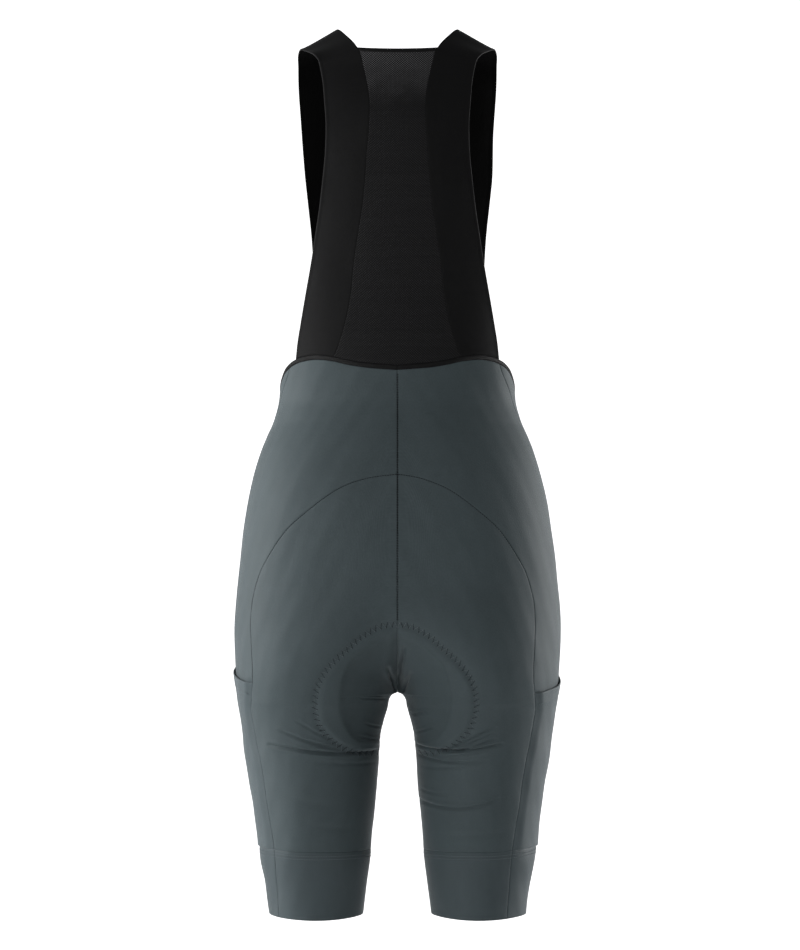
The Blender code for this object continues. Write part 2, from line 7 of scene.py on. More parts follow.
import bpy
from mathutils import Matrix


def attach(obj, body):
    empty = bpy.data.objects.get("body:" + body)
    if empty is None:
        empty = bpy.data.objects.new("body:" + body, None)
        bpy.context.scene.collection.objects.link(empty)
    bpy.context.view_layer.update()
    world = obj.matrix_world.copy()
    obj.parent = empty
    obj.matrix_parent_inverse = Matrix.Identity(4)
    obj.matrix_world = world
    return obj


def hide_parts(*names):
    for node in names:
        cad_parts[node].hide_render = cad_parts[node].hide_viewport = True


bl_info = {
    "name": "Cargo Bib Shorts",
    "version": (1, 0, 0),
    "blender": (4, 5, 0),
    "location": "View3D > Sidebar > Bib Shorts",
    "description": "Builds worn cargo cycling bib shorts with their seams, stitches and creases",
    "category": "Add Mesh",
}

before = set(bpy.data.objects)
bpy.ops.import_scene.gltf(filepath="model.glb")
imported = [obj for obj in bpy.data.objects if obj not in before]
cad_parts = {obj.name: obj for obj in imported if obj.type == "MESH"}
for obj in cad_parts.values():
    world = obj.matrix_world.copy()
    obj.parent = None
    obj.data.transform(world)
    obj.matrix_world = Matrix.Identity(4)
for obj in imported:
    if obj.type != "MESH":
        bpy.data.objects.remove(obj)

import math
from collections import namedtuple
from functools import cached_property

import bpy
import numpy as np
from bpy.props import FloatProperty, FloatVectorProperty, PointerProperty
from mathutils import Vector

MM = 0.001
SIDES = (("left", -1), ("right", 1))

# ---------------------------------------------------------------- sizes of the cut

WALL = 1.2 * MM
SEAM_GAP = -0.1 * MM  # neighbouring panels overlap by this much, so that no light shows through
HALF_GAP = SEAM_GAP / 2
EDGE_ROLL = 1.0 * MM
EDGE_LEADS = (0, 0.15, 0.5)
EDGE_DROP = 0.62  # of the wall, at a rolled edge
EDGE_ROUND = 0.98
INNER_DROP = 0.35  # of that, on the inner face
CROTCH_Z = -683 * MM
CUFF_SEAM_Z = -844 * MM
CUFF_RISE = 4 * MM
HEM_Z = -911 * MM
HEM_SAG = 3.5 * MM
LEVEL_Z = -438 * MM  # below this height the rows of the panels are level at the front
EVEN_FROM_Z = -593 * MM  # above this height the rows of the hip and seat panels are slanted
FOLDS_TOP_Z = -711 * MM
FOLDS_FOOT_Z = -766 * MM
CLOTH_STEP = 1.7 * MM  # between neighbouring rows and columns of a panel
LEG_STEP = 1.6 * MM
HIP_ROW_SLANT = 0.6
FOLDS_STEP = 1.06 * MM
CROTCH_STEPS = (0, 0.15, 0.4, 0.8, 1.3, 2.0, 2.9, 4.0, 5.2, 6.4)
BACK_RISE = 110 * MM
FRONT_RISE = 90 * MM
CROTCH_ROUND = 10 * MM
CLOSING_SOFT = 0.16  # the share of the way up from the crotch over which the legs start to join
SIDE_SKEW = 4.5 * MM
SKEW_FULL_X = 40 * MM
BAND_HEIGHT = 5 * MM
BAND_BULGE = 0.35 * MM
BINDING_HEIGHT = 4.4 * MM
BINDING_WALL = 1.8 * MM
BINDING_BULGE = 0.4 * MM
POCKET_STANDOFF = 0.9 * MM
POCKET_WALL = 1.0 * MM
POCKET_SKEW = 4.5 * MM
POCKET_SLOPE = 12 * MM
POCKET_GAPE = 0.6 * MM
GAPE_REACH = 9 * MM
FOLD_HEIGHT = 0.3 * MM
FOLD_EDGE = 1.4 * MM
UNDER_POCKET_EDGE = 3 * MM
UNDER_POCKET_ROOM = 0.1 * MM
POCKET_STITCH_RISE = 2.0 * MM
BIB_FOOT_Z = -338 * MM
NECK_BACK_SAG = 6 * MM
NECK_DROP = 1.5 * MM
STRAP_SKEW = 2.8 * MM
STRAP_WIDTH = 45 * MM
STRAP_LENGTH = 800 * MM
STRAP_TAPE = 3.2 * MM
STRAP_RIDGE = 0.45 * MM
STRAP_SKEW_TOP = -100 * MM
STRAP_SKEW_FOOT = -270 * MM
# How much darker the straps' inside faces are painted, as painted shade
INSIDE_PAINTED_SHADE = 0.3
MESH_TUCK = 0.3 * MM
MESH_WIDTH = 74 * MM
MESH_LENGTH = 330 * MM
# Heights at which the painted light in the mesh's holes is full, and below which it has faded into
# painted shade
MESH_LIT_THROUGH_Z = -35 * MM
MESH_SHADED_THROUGH_Z = -88 * MM
PAD_CLEARANCE = 2.0 * MM
PAD_EDGE = 2 * MM
PAD_CROWN = 6 * MM
PAD_CROWDING = 1.8
PAD_SKEW = 1.8 * MM
PAD_ROWS = 125
PAD_COLUMNS = 61
FOAM_DIMPLE = 4 * MM
PAD_BLEND = 45 * MM
HOLLOW_REACH = 30 * MM
HOLLOW_EDGE = 2.5 * MM
STEEP_SHARE = 0.14  # of the hollow's depth, right beside its edge
PAST_PAD_X = -20 * MM
PAST_PAD_Z = -760 * MM
CLEFT_DEPTH = 19 * MM
CLEFT_TOP_Z = -612 * MM
CLEFT_WIDTH = 8.5 * MM
CLEFT_FOOT = 25 * MM
TURN_RISES = (-12, -8, -4, 0, 4, 8, 12)  # over which the cloth bridges the turn at the crotch
FACE_BLEND = 16 * MM  # over which a crease dies away round the side of a leg
GROOVE_WIDTH = 3.4 * MM
ROLL_AWAY = 1.9  # in widths of the crease, as is the next
ROLL_WIDTH = 1.5
ROLL_ABOVE = 0.42  # of the crease's depth, as is the next
ROLL_BELOW = 0.2
WAVE_SHIFT = 1.7
PUCKER_HEIGHT = 0.07 * MM
PUCKER_REACH = 4 * MM
STRAP_BLEND = 15 * MM  # over which a free sheet starts to wave beside its seams
LEAST_SHARE = 0.31  # of the rectangle round a cut piece that it fills
CENTRE_SEAM_TOP = -356 * MM
CENTRE_SEAM_FOOT = -607 * MM
CENTRE_ROW_X = 0.5 * MM
ARCH_ROW_FOOT = -672 * MM
ARCH_ROW_SINK = 0.3 * MM
CUFF_ROWS_DOWN = (4.2 * MM, 7.4 * MM)
ZIGZAG = (-1, -1 / 3, 1 / 3, 1, 1 / 3, -1 / 3)
THREAD_RISE = 0.35
STITCH_GAP = 0.22  # of a stitch's length, as is the next
ZIGZAG_GAP = 0.03
ZIGZAG_LEAST_X = 0.4 * MM
HEM_ROW_INSET = 2 * MM
HEM_ROW_RISE = 1 * MM
ELASTIC_RIB = 1.1 * MM
HOLE_INNER = 0.35 * MM
HOLE_OUTER = 0.75 * MM
SEARCH_TURNS = 12
FINE_STEPS = 400

# ---------------------------------------------------------------- sizes of the studio

PICTURE_HEIGHT = 978.5 * MM
CAMERA_DISTANCE = 6.5
CAMERA_X = 2.6 * MM
MIDDLE_Z = -459.4 * MM
PAPER_LENGTH = 13.0
PAPER_WIDTH = 5.0
PAPER_BACK = 9.2
PAPER_HEIGHT = 6.0
PAPER_FOLD = 0.8
PAPER_GLOW = 1.0
PAPER_LIT_Z = -2.0
AMBIENT = 0.26

# ---------------------------------------------------------------- tables, in millimetres


def table(columns, *rows):
    """A table whose rows have named columns."""
    row = namedtuple("Row", columns)
    return [row(*values) for values in rows]


# The worn form at each height: half the width over both legs, half the gap between the legs,
# where each leg's or hip's lobe is centred, and how far the form reaches back and forward.
FORM = table(
    "z half_width gap lobe back front side_y",
    (-40, 119, 0, 0, 54, 47, 0),
    (-75, 130, 0, 0, 76, 66, 0),
    (-110, 134, 0, 0, 88, 80, 0),
    (-150, 133, 0, 0, 92, 90, 0),
    (-200, 128, 0, 0, 90, 95, 0),
    (-243, 124, 0, 0, 85, 94, 0),
    (-290, 121, 0, 0, 78, 90, 0),
    (-335, 119.5, 0, 0, 74, 87, 0),
    (-380, 121.5, 0, 5, 80, 89, 0),
    (-403, 127, 0, 12, 88, 91, -1),
    (-418, 133.5, 0, 20, 94, 93, -1),
    (-434, 140, 0, 27, 100, 95, -2),
    (-464, 149, 0, 38, 109, 97, -3),
    (-495, 155.5, 0, 46, 115, 98, -4),
    (-557, 163.3, 0, 60, 120, 97, -6),
    (-619, 168, 0, 73, 120, 92, -6),
    (-665, 166, 0, 82, 113, 88, -5),
    (-683, 163.8, 0, 84, 107, 87, -4),
    (-685, 163.5, 5.2, 84.5, 106, 87, -4),
    (-691, 162.8, 8.7, 85.5, 103, 86, -4),
    (-697, 161.8, 9.6, 86, 100, 86, -3),
    (-712, 159.5, 13.9, 87, 94, 85, -2),
    (-727, 157.5, 17.3, 87.5, 90, 85, -1),
    (-743, 156, 18.7, 87.5, 87, 84, 0),
    (-774, 150.8, 20.6, 86.5, 84, 82, 0),
    (-804, 146.2, 23.5, 85.5, 80, 79, 0),
    (-835, 142.8, 26.5, 85, 75, 75, 0),
    (-850, 142, 27.3, 84.8, 72, 73, 0),
    (-882, 136, 31.4, 84, 66, 68, 0),
    (-911, 132.3, 35, 83.7, 62, 64, 0),
)

# The waist edge, as its height at each angle round the body (-90 is centre back, 90 centre front)
WAIST = table(
    "angle z",
    (-90, -352.3), (-74, -349.7), (-64, -346.5), (-56, -343.2), (-46, -341.6), (-36, -343.3),
    (-27, -347), (-17, -354), (-8, -364), (5, -377), (25, -391), (50, -403), (90, -410),
)

# The arched seam over the seat, from its top at centre back, and on down the back of the side
ARCH = table(
    "x z",
    (0, -458.4), (22, -461.5), (40, -466.6), (56, -473.6), (73, -485), (90, -498.5),
    (106, -513), (117, -527), (127, -543), (135, -558), (140.5, -575), (144, -593),
    (145, -611), (144.3, -628), (143.6, -643), (143, -656), (143, -667), (143.6, -676),
    (144.2, -683), (144.6, -690), (145, -698), (143, -712), (140.5, -726), (138.6, -738),
    (136.5, -746), (134.6, -756), (132, -772), (129.6, -790), (126.8, -808), (123.6, -828),
    (121.3, -847), (119, -878), (116.5, -911),
)

# The side front seam, as its angle round the body at each height
SIDE_FRONT = table(
    "z angle",
    (-340, -28), (-352, -25), (-379, -14), (-396, -10), (-419, -1), (-450, 12), (-500, 24),
    (-560, 32), (-640, 38), (-760, 42), (-911, 45),
)

# The pocket's open top edge round the leg
POCKET_TOP = table(
    "angle z",
    (-55, -679), (-45, -677), (-20, -672), (0, -666), (20, -658), (45, -648),
)

# Half widths of the bib's back, from its foot to the neck: the mesh's seam and the free edge
BIB_BACK = table(
    "z seam edge",
    (-347, 69.5, 105.5), (-328, 60.5, 103.2), (-305, 53.5, 99.6), (-275, 47.5, 94.4),
    (-245, 44.5, 89), (-215, 40.3, 84.2), (-187, 35.8, 80), (-160, 33, 76.8),
    (-130, 31, 74), (-100, 28.7, 73.4), (-78, 28.5, 75), (-58, 31, 76.7), (-40, 35, 80),
)

# The strap's two edges over the shoulder, from the neck's seam to the chest
SHOULDER = table(
    "inner outer",
    ((38.8, -45, -25.5), (82, -37.5, -33.5)),
    ((42.6, -37.5, -18.8), (85.5, -32, -29)),
    ((52.5, -19, -7.5), (93, -16, -24)),
    ((61.5, -1, 0), (100.5, 0, -21.5)),
    ((65, 16, -4.5), (103, 15, -26.5)),
    ((65.5, 31, -17), (103, 28, -37)),
)

# The front of the strap, from the chest down to the front of the waist
BIB_FRONT = table(
    "z inner outer",
    (-62, 63.5, 102.6), (-90, 60, 100.8), (-120, 57, 98.8), (-150, 54, 96.4),
    (-180, 51, 93.2), (-210, 48, 90), (-243, 45, 88), (-275, 42.5, 87.4),
    (-305, 40.5, 88.4), (-335, 39, 90.5), (-365, 38, 93), (-400, 37, 95.5),
)

# Creases: a groove with a soft roll of cloth above it and a lower one below, from one end to the
# other on the back or front of one leg. Its middle hangs below its ends by the sag.
CREASES = table(
    "side face start_x start_z end_x end_z sag depth width",
    # under the left side of the seat
    (-1, -1, 130.2, -734.2, 20.7, -742.1, 3.4, 3.36, 1.56),
    (-1, -1, 119.4, -719.4, 53.3, -740.2, 1.8, 2.23, 1.36),
    (-1, -1, 102.6, -708.6, 67.1, -728.3, 1.2, 1.21, 1.16),
    (-1, -1, 100.6, -740.2, 49.3, -745.1, 0.4, 1.12, 1.02),
    (-1, -1, 88.8, -751, 23.7, -754, 1, 0.838, 1.77),
    (-1, -1, 38.5, -685.4, 12.8, -687.9, 0.4, 1.06, 0.884),
    (-1, -1, 33.5, -712.5, 15.8, -718.5, 0.6, 0.938, 1.09),
    (-1, -1, 39.5, -725.4, 16.8, -732.3, 0.8, 1.29, 1.22),
    (-1, -1, 116.4, -785.5, 59.2, -796.4, 3, 0.559, 4.08),
    (-1, -1, 94.7, -815.1, 39.5, -819.1, 2, 0.466, 3.4),
    # under the right side of the seat
    (1, -1, 99.6, -714.5, 49.3, -738.2, 1.4, 2.31, 1.02),
    (1, -1, 98.7, -721.4, 57.2, -738.2, 0.8, 1.58, 0.816),
    (1, -1, 99.6, -727.3, 54.3, -741.1, 1.4, 2.43, 1.02),
    (1, -1, 106.5, -732.3, 14.8, -734.2, 7, 4.12, 1.5),
    (1, -1, 95.7, -738.2, 51.3, -745.1, 1, 1.69, 0.952),
    (1, -1, 90.8, -750, 17.8, -745.1, 4.5, 2.07, 1.36),
    (1, -1, 75, -754, 25.6, -757.9, 1.2, 0.972, 1.5),
    (1, -1, 102.6, -789.5, 19.7, -791.5, 8.5, 2.7, 1.5),
    (1, -1, 51.3, -785.5, 21.7, -780.6, 1, 1.22, 1.22),
    (1, -1, 33.5, -699.7, 14.8, -704.6, 0.5, 1.53, 1.02),
    (1, -1, 37.5, -715.5, 16.8, -723.4, 0.8, 1.38, 1.09),
    (1, -1, 110.5, -824, 51.3, -826, 1.5, 0.608, 3.4),
    # the pinch at the crotch
    (-1, -1, 10, -655, 3, -680, 0.0, 4.49, 1.7),
    (1, -1, 7, -633, 1, -668, 0.0, 4.9, 1.7),
    (1, -1, 14, -660, 7, -682, 0.0, 2.45, 1.6),
    # the groin, on both front sides
    (-1, 1, 118, -618, 18, -688, 5.0, 1.8, 2.45),
    (-1, 1, 96, -652, 22, -700, 3.0, 0.9, 1.77),
    (-1, 1, 104, -735, 44, -742, 2.5, 0.72, 2.31),
    (-1, 1, 82, -750, 24, -757, 1.5, 0.6, 1.63),
    (-1, 1, 70, -790, 36, -800, 1.5, 0.48, 2.72),
    (1, 1, 121, -612, 17, -686, 4.5, 1.68, 2.58),
    (1, 1, 90, -660, 24, -704, 3.0, 1.02, 1.63),
    (1, 1, 110, -744, 50, -752, 2.0, 0.66, 2.58),
    (1, 1, 74, -731, 26, -741, 2.0, 0.72, 1.5),
    (1, 1, 66, -802, 38, -808, 1.5, 0.54, 2.31),
)

# Lines of the pad across the crotch, from the middle to its edge, back to front
PAD_LINES = table(
    "behind middle_z end_x end_z",
    (True, -617, 14, -616), (True, -632, 45, -630), (True, -649, 66, -652),
    (True, -663, 80, -674), (True, -673, 84, -699), (True, -679.5, 78.8, -720),
    (True, -682.4, 61.6, -736), (True, -683, 18, -748), (False, -682.2, 40, -738),
    (False, -678, 58, -716), (False, -668, 64, -692), (False, -653, 58, -666),
    (False, -633, 40, -638), (False, -613, 16, -612),
)

# The pad's outline on the back and on the front, down from the middle line, and the step inside it
PAD_BACK_EDGE = table(
    "x z",
    (0, -610.9), (12.2, -611.9), (23.7, -616.8), (35.8, -624.2), (45.6, -633.1),
    (57.4, -643.5), (67.3, -653.3), (75.7, -665.7), (80.6, -678), (82.1, -693.8),
    (80.1, -707.6), (75.2, -718.5), (67.3, -727.3), (59.4, -734.2), (47.5, -740.2),
    (32.6, -744.1), (16.8, -744.1),
)
PAD_BACK_STEP = table(
    "x z",
    (0, -619.8), (10.9, -622.8), (24.7, -629.7), (36.5, -638.5), (49.3, -651.4),
    (55.2, -669.1), (57.7, -687.9), (56.2, -702.7), (50.8, -718.5), (38.5, -731.3),
    (19.7, -734.2),
)
PAD_FRONT_EDGE = table(
    "x z",
    (0, -611), (16, -612), (40, -638), (58, -666), (64, -692), (58, -716), (40, -738),
    (18, -748),
)

# Slow waves over worn cloth: their height, how often they turn along x, y and z, and their start
WAVES = table(
    "height x y z start",
    (0.22, 61, 23, 17, 0.4), (0.16, 95, 88, 41, 2.1),
    (0.10, 171, 37, 139, 4.0), (0.07, 263, 205, 118, 5.2),
)

# ---------------------------------------------------------------- curves


def on_curve(at, places, steps, values, slopes):
    """The values at places along a curve, which passes through its values with these slopes."""
    i = np.clip(np.searchsorted(places, at) - 1, 0, len(steps) - 1)
    more = (1,) * (values.ndim - 1)
    step = np.asarray(steps[i])
    t = ((at - places[i]) / step).reshape(step.shape + more)
    step = step.reshape(step.shape + more)
    start = (1 + 2 * t) * (1 - t) ** 2 * values[i] + t * (1 - t) ** 2 * step * slopes[i]
    end = t * t * (3 - 2 * t) * values[i + 1] - t * t * (1 - t) * step * slopes[i + 1]
    return start + end


def smooth_curve(places, values):
    """A function through the values that doesn't overshoot them."""
    places, values = np.asarray(places, float), np.asarray(values, float)
    steps = np.diff(places)
    rises = np.diff(values) / steps
    turns = rises[:-1] * rises[1:]
    sums = np.where(turns > 0, rises[:-1] + rises[1:], 1)
    middle = np.where(turns > 0, 2 * turns / sums, 0)
    slopes = np.concatenate([rises[:1], middle, rises[-1:]])
    ends = places[0], places[-1]
    return lambda at: on_curve(np.clip(at, *ends), places, steps, values, slopes)


def table_curve(rows, place, value, power=1):
    """A smooth curve from one column of a table to another, in metres where they are lengths."""
    rows = sorted(rows, key=lambda row: getattr(row, place))
    scale = {"angle": math.radians(1)}
    places = [getattr(row, place) * scale.get(place, MM) for row in rows]
    values = [(getattr(row, value) * scale.get(value, MM)) ** power for row in rows]
    return smooth_curve(places, values)


def line_curves(rows):
    """A line of points as its length and two smooth curves along it, for x and for z."""
    x, z = (np.array([getattr(row, axis) for row in rows]) for axis in "xz")
    places = np.concatenate([[0], np.cumsum(np.hypot(np.diff(x), np.diff(z)) * MM)])
    return places[-1], smooth_curve(places, x * MM), smooth_curve(places, z * MM)


def through_rows(rows, shares):
    """A smooth surface through rows of points, at shares of the way from the first to the last."""
    rows = np.array(rows)
    steps = np.linalg.norm(np.diff(rows, axis=0), axis=-1).mean(axis=1)
    places = np.concatenate([[0], np.cumsum(steps)])
    slopes = np.gradient(rows, places, axis=0)
    return on_curve(shares * places[-1], places, steps, rows, slopes)


def ease(t):
    t = np.clip(t, 0, 1)
    return t * t * (3 - 2 * t)


half_width = table_curve(FORM, "z", "half_width")
gap_squared = table_curve(FORM, "z", "gap", 2)
lobe_centre = table_curve(FORM, "z", "lobe")
back_reach = table_curve(FORM, "z", "back")
front_reach = table_curve(FORM, "z", "front")
side_y = table_curve(FORM, "z", "side_y")
waist_z = table_curve(WAIST, "angle", "z")
side_front_angle = table_curve(SIDE_FRONT, "z", "angle")
pocket_top_z = table_curve(POCKET_TOP, "angle", "z")
mesh_seam_x = table_curve(BIB_BACK, "z", "seam")
bib_edge_x = table_curve(BIB_BACK, "z", "edge")
arch_length, arch_x, arch_z = line_curves(ARCH)
FINE_ARCH = np.linspace(0, arch_length, 8 * FINE_STEPS)
FINE_ARCH_DROPS = -arch_z(FINE_ARCH)

# ---------------------------------------------------------------- the form


def closing(z, rise):
    """How far the two legs have joined at a height: 0 at the crotch and 1 once it is one form."""
    t = np.clip((z - CROTCH_Z) / rise, 0, 1)
    joined = np.where(t < CLOSING_SOFT, t**2 / (2 * CLOSING_SOFT), t - CLOSING_SOFT / 2)
    return joined / (1 - CLOSING_SOFT / 2)


def shape_at(z, behind):
    """One half's lobe at a height: its centre, bridge, inner and outer radius, and y radius."""
    closed = closing(z, np.where(behind, BACK_RISE, FRONT_RISE))
    lobe = lobe_centre(z)
    inner = np.maximum(lobe - CROTCH_ROUND, 0)
    bridge = lobe - inner * (1 - closed)
    parted = np.sqrt(gap_squared(z) + CROTCH_ROUND**2) - CROTCH_ROUND
    outer = np.sqrt(half_width(z) ** 2 + bridge**2) - lobe
    depth = np.where(behind, back_reach(z) + side_y(z), front_reach(z) - side_y(z))
    return lobe, bridge, inner - parted, outer, depth


def on_form(angle, z):
    """The point of the right half at an angle round its lobe: 0 is the side, -90 the back."""
    lobe, bridge, inner, outer, depth = shape_at(z, np.sin(angle) < 0)
    across = lobe + np.where(np.cos(angle) > 0, outer, inner) * np.cos(angle)
    x = np.sqrt(np.maximum(across**2 - bridge**2, 0))
    y = side_y(z) + depth * np.sin(angle)
    return np.stack([x, y, z + 0 * angle], axis=-1)


def share_across(x, z, behind):
    """How far x is across its lobe, from -1 inside to 1 outside, and the lobe's y radius."""
    lobe, bridge, inner, outer, depth = shape_at(z, behind)
    across = np.sqrt(x**2 + bridge**2) - lobe
    return across / np.where(across > 0, outer, np.maximum(inner, 1 * MM)), depth


def form_level(x, y, z):
    """Zero on the form, more outside it and less inside."""
    share, depth = share_across(x, z, y < side_y(z))
    return share**2 + ((y - side_y(z)) / depth) ** 2


def form_normal(points):
    """Outward unit normals of the form at points on it."""
    slope = []
    for step in np.eye(3) * 0.2 * MM:
        ahead, behind = np.moveaxis(points + step, -1, 0), np.moveaxis(points - step, -1, 0)
        slope.append(form_level(*ahead) - form_level(*behind))
    slope = np.stack(slope, axis=-1)
    return slope / np.linalg.norm(slope, axis=-1, keepdims=True)


def angle_at(x, z, behind):
    """The angle on the form's back or front that lies at x."""
    share, _ = share_across(x, z, behind)
    return np.arccos(np.clip(share, -1, 1)) * (-1 if behind else 1)


def reach_at(x, z, behind):
    """How far the form reaches back or forward at x."""
    share, depth = share_across(x, z, behind)
    return depth * np.sqrt(np.maximum(1 - share**2, 0))


def middle_angle(z, behind):
    """The angle where the form meets the middle plane; below the crotch, the inside of the leg."""
    angle = math.pi - np.arccos(1 - closing(z, BACK_RISE if behind else FRONT_RISE))
    return -angle if behind else angle


# ---------------------------------------------------------------- seams


def side_seam_angle(z, side, away=0):
    """The side front seam's angle, moved off it: away is positive towards the front."""
    _, _, _, outer, depth = shape_at(z, True)
    return side_front_angle(z) + 2 * (away - side * SIDE_SKEW) / (outer + depth)


def arch_length_at(z):
    """How far along the arched seam a height is."""
    return np.interp(-z, FINE_ARCH_DROPS, FINE_ARCH)


def arch_at(length, side, away):
    """Points of the arched seam, moved off it: away is positive towards the hip."""
    h = 0.5 * MM
    along_x = arch_x(length + h) - arch_x(length - h)
    along_z = arch_z(length + h) - arch_z(length - h)
    size = np.hypot(along_x, along_z)
    x = arch_x(length)
    skew = side * SIDE_SKEW * np.minimum(1, x / SKEW_FULL_X)
    return x - skew - away * along_z / size, arch_z(length) + away * along_x / size


def back_seam_angle(z, side, away):
    """The angle of the seam down the back of the side, moved off it: away is towards the side."""
    x, _ = arch_at(arch_length_at(z), side, away)
    return angle_at(x, z, True)


def top_row_z(angle, part, drop):
    """The height of a row of the upper block: part 0 is the waist edge and 1 the level row."""
    return (1 - part) * (waist_z(angle) - drop) + part * LEVEL_Z


def cuff_seam_z(angle):
    return CUFF_SEAM_Z + CUFF_RISE * np.cos(angle) ** 2 * (np.cos(angle) > 0)


def pocket_edge_z(angle, side):
    return pocket_top_z(angle) - side * POCKET_SKEW


def crossing(edge_angle, height):
    """The angle at which a row of that height meets an edge of its panel."""
    angle = 0.0
    for _ in range(SEARCH_TURNS):
        angle = edge_angle(height(angle))
    return angle


# ---------------------------------------------------------------- rows of cloth


def with_leads(length, count):
    """Distances along a stretch, closer together at both ends where the cloth rolls under."""
    roll = min(EDGE_ROLL, length / 8)
    leads = roll * np.array(EDGE_LEADS)
    return np.concatenate([leads, np.linspace(roll, length - roll, count), length - leads[::-1]])


def row_between(start, end, columns, height):
    """One row over the form: evenly spaced angles, their heights and distances along the row.

    The height is a function of the angle, or the row's heights at its start and its end."""
    t = (1 - np.cos(np.linspace(0, math.pi, FINE_STEPS))) / 2
    angle = start + (end - start) * t
    z = height(angle) if callable(height) else height[0] + (height[1] - height[0]) * t
    steps = np.linalg.norm(np.diff(on_form(angle, z), axis=0), axis=1)
    length = np.concatenate([[0], np.cumsum(steps)])
    places = with_leads(length[-1], columns)
    return np.interp(places, length, angle), np.interp(places, length, z), places


def low_heights():
    """The level rows' heights: fine steps just below the crotch and at the cuff's seam."""
    crotch = CROTCH_Z - np.array(CROTCH_STEPS) * MM
    return np.concatenate(
        [
            np.arange(EVEN_FROM_Z, CROTCH_Z + 0.5 * MM, -LEG_STEP),
            crotch[:-1],
            np.arange(crotch[-1], FOLDS_TOP_Z, -LEG_STEP),
            np.arange(FOLDS_TOP_Z, FOLDS_FOOT_Z, -FOLDS_STEP),
            np.arange(FOLDS_FOOT_Z, CUFF_SEAM_Z + 1.2 * MM, -LEG_STEP),
            CUFF_SEAM_Z + np.array([1, *EDGE_LEADS[:0:-1], 0]) * EDGE_ROLL,
        ]
    )


def foot_height(z, angle):
    """A level row's height, bent up at the side of the leg where it nears the cuff's seam."""
    near = np.clip(1 - (z - CUFF_SEAM_Z) / (30 * MM), 0, 1)
    return z + near * (cuff_seam_z(angle) - CUFF_SEAM_Z + HALF_GAP)


def top_rows(count, side, away, middle, columns):
    """Rows of the upper block, close together at the waist edge, from back to front.

    They run between the middle and the side front seam, moved off it."""
    rise = waist_z(-math.pi / 2) - LEVEL_Z
    rows = []
    for part in with_leads(rise, count)[: -len(EDGE_LEADS)] / rise:
        seam = LEVEL_Z
        for _ in range(SEARCH_TURNS):
            seam = top_row_z(side_seam_angle(seam, side), part, HALF_GAP)
        ends = sorted((side_seam_angle(seam, side, away), middle))
        rows.append(row_between(*ends, columns, lambda a: top_row_z(a, part, HALF_GAP)))
    return rows


def level_rows(heights, start, end, columns):
    """Rows at these heights between two edges, each a function that gives its angle."""
    return [row_between(start(z), end(z), columns, lambda a: foot_height(z, a)) for z in heights]


def hip_rows(side, columns=66):
    rows = top_rows(34, side, -HALF_GAP, -math.pi / 2, columns)
    arch_top = ARCH[0].z * MM
    for z in np.linspace(LEVEL_Z, arch_top + HALF_GAP, 9)[1:-1]:
        end_z = LEVEL_Z + (z - LEVEL_Z) * HIP_ROW_SLANT
        end = side_seam_angle(end_z, side, -HALF_GAP)
        rows.append(row_between(-math.pi / 2, end, columns, (z, end_z)))
    turn, first_end = arch_length_at(EVEN_FROM_Z), LEVEL_Z + (arch_top - LEVEL_Z) * HIP_ROW_SLANT
    for length in np.linspace(0, turn, 112)[:-1]:
        x, z = arch_at(length, side, HALF_GAP)
        end_z = first_end + (EVEN_FROM_Z - first_end) * length / turn
        end = side_seam_angle(end_z, side, -HALF_GAP)
        rows.append(row_between(angle_at(max(x, 0), z, True), end, columns, (z, end_z)))
    return rows + level_rows(
        low_heights(),
        lambda z: back_seam_angle(z, side, HALF_GAP),
        lambda z: side_seam_angle(z, side, -HALF_GAP),
        columns,
    )


def seat_rows(side, columns=77):
    rows = []
    turn, top = arch_length_at(EVEN_FROM_Z), ARCH[0].z * MM - HALF_GAP
    for length in np.linspace(1 * MM, turn, 136)[:-1]:
        x, z = arch_at(length, side, -HALF_GAP)
        start_z = top + (EVEN_FROM_Z - top) * length / turn
        ends = middle_angle(start_z, True), angle_at(x, z, True)
        rows.append(row_between(*ends, columns, (start_z, z)))
    return rows + level_rows(
        low_heights(),
        lambda z: middle_angle(z, True),
        lambda z: back_seam_angle(z, side, -HALF_GAP),
        columns,
    )


def front_rows(side, columns=56):
    between = np.arange(LEVEL_Z - CLOTH_STEP, EVEN_FROM_Z + CLOTH_STEP / 2, -CLOTH_STEP)
    return top_rows(18, side, HALF_GAP, math.pi / 2, columns) + level_rows(
        np.concatenate([between, low_heights()]),
        lambda z: side_seam_angle(z, side, HALF_GAP),
        lambda z: middle_angle(z, False),
        columns,
    )


def block_rows(start, end, top, foot, shares, columns):
    """Rows from a panel's top line down to its foot line, each a fixed share of the way."""
    rows = []
    for share in shares:

        def height(angle):
            return top(angle) * (1 - share) + foot(angle) * share

        rows.append(row_between(crossing(start, height), crossing(end, height), columns, height))
    return rows


def pocket_rows(side, columns=62):
    length = POCKET_TOP[2].z * MM - CUFF_SEAM_Z
    return block_rows(
        lambda z: back_seam_angle(z, side, HALF_GAP),
        lambda z: side_seam_angle(z, side, -HALF_GAP),
        lambda angle: pocket_edge_z(angle, side),
        lambda angle: cuff_seam_z(angle) + HALF_GAP,
        with_leads(length, 100) / length,
        columns,
    )


def cuff_rows(start, end, columns):
    length = CUFF_SEAM_Z - HEM_Z
    return block_rows(
        start,
        end,
        lambda angle: cuff_seam_z(angle) - HALF_GAP,
        lambda angle: HEM_Z - HEM_SAG * np.sin(angle) ** 2,
        with_leads(length, 36) / length,
        columns,
    )


# ---------------------------------------------------------------- relief of the cloth


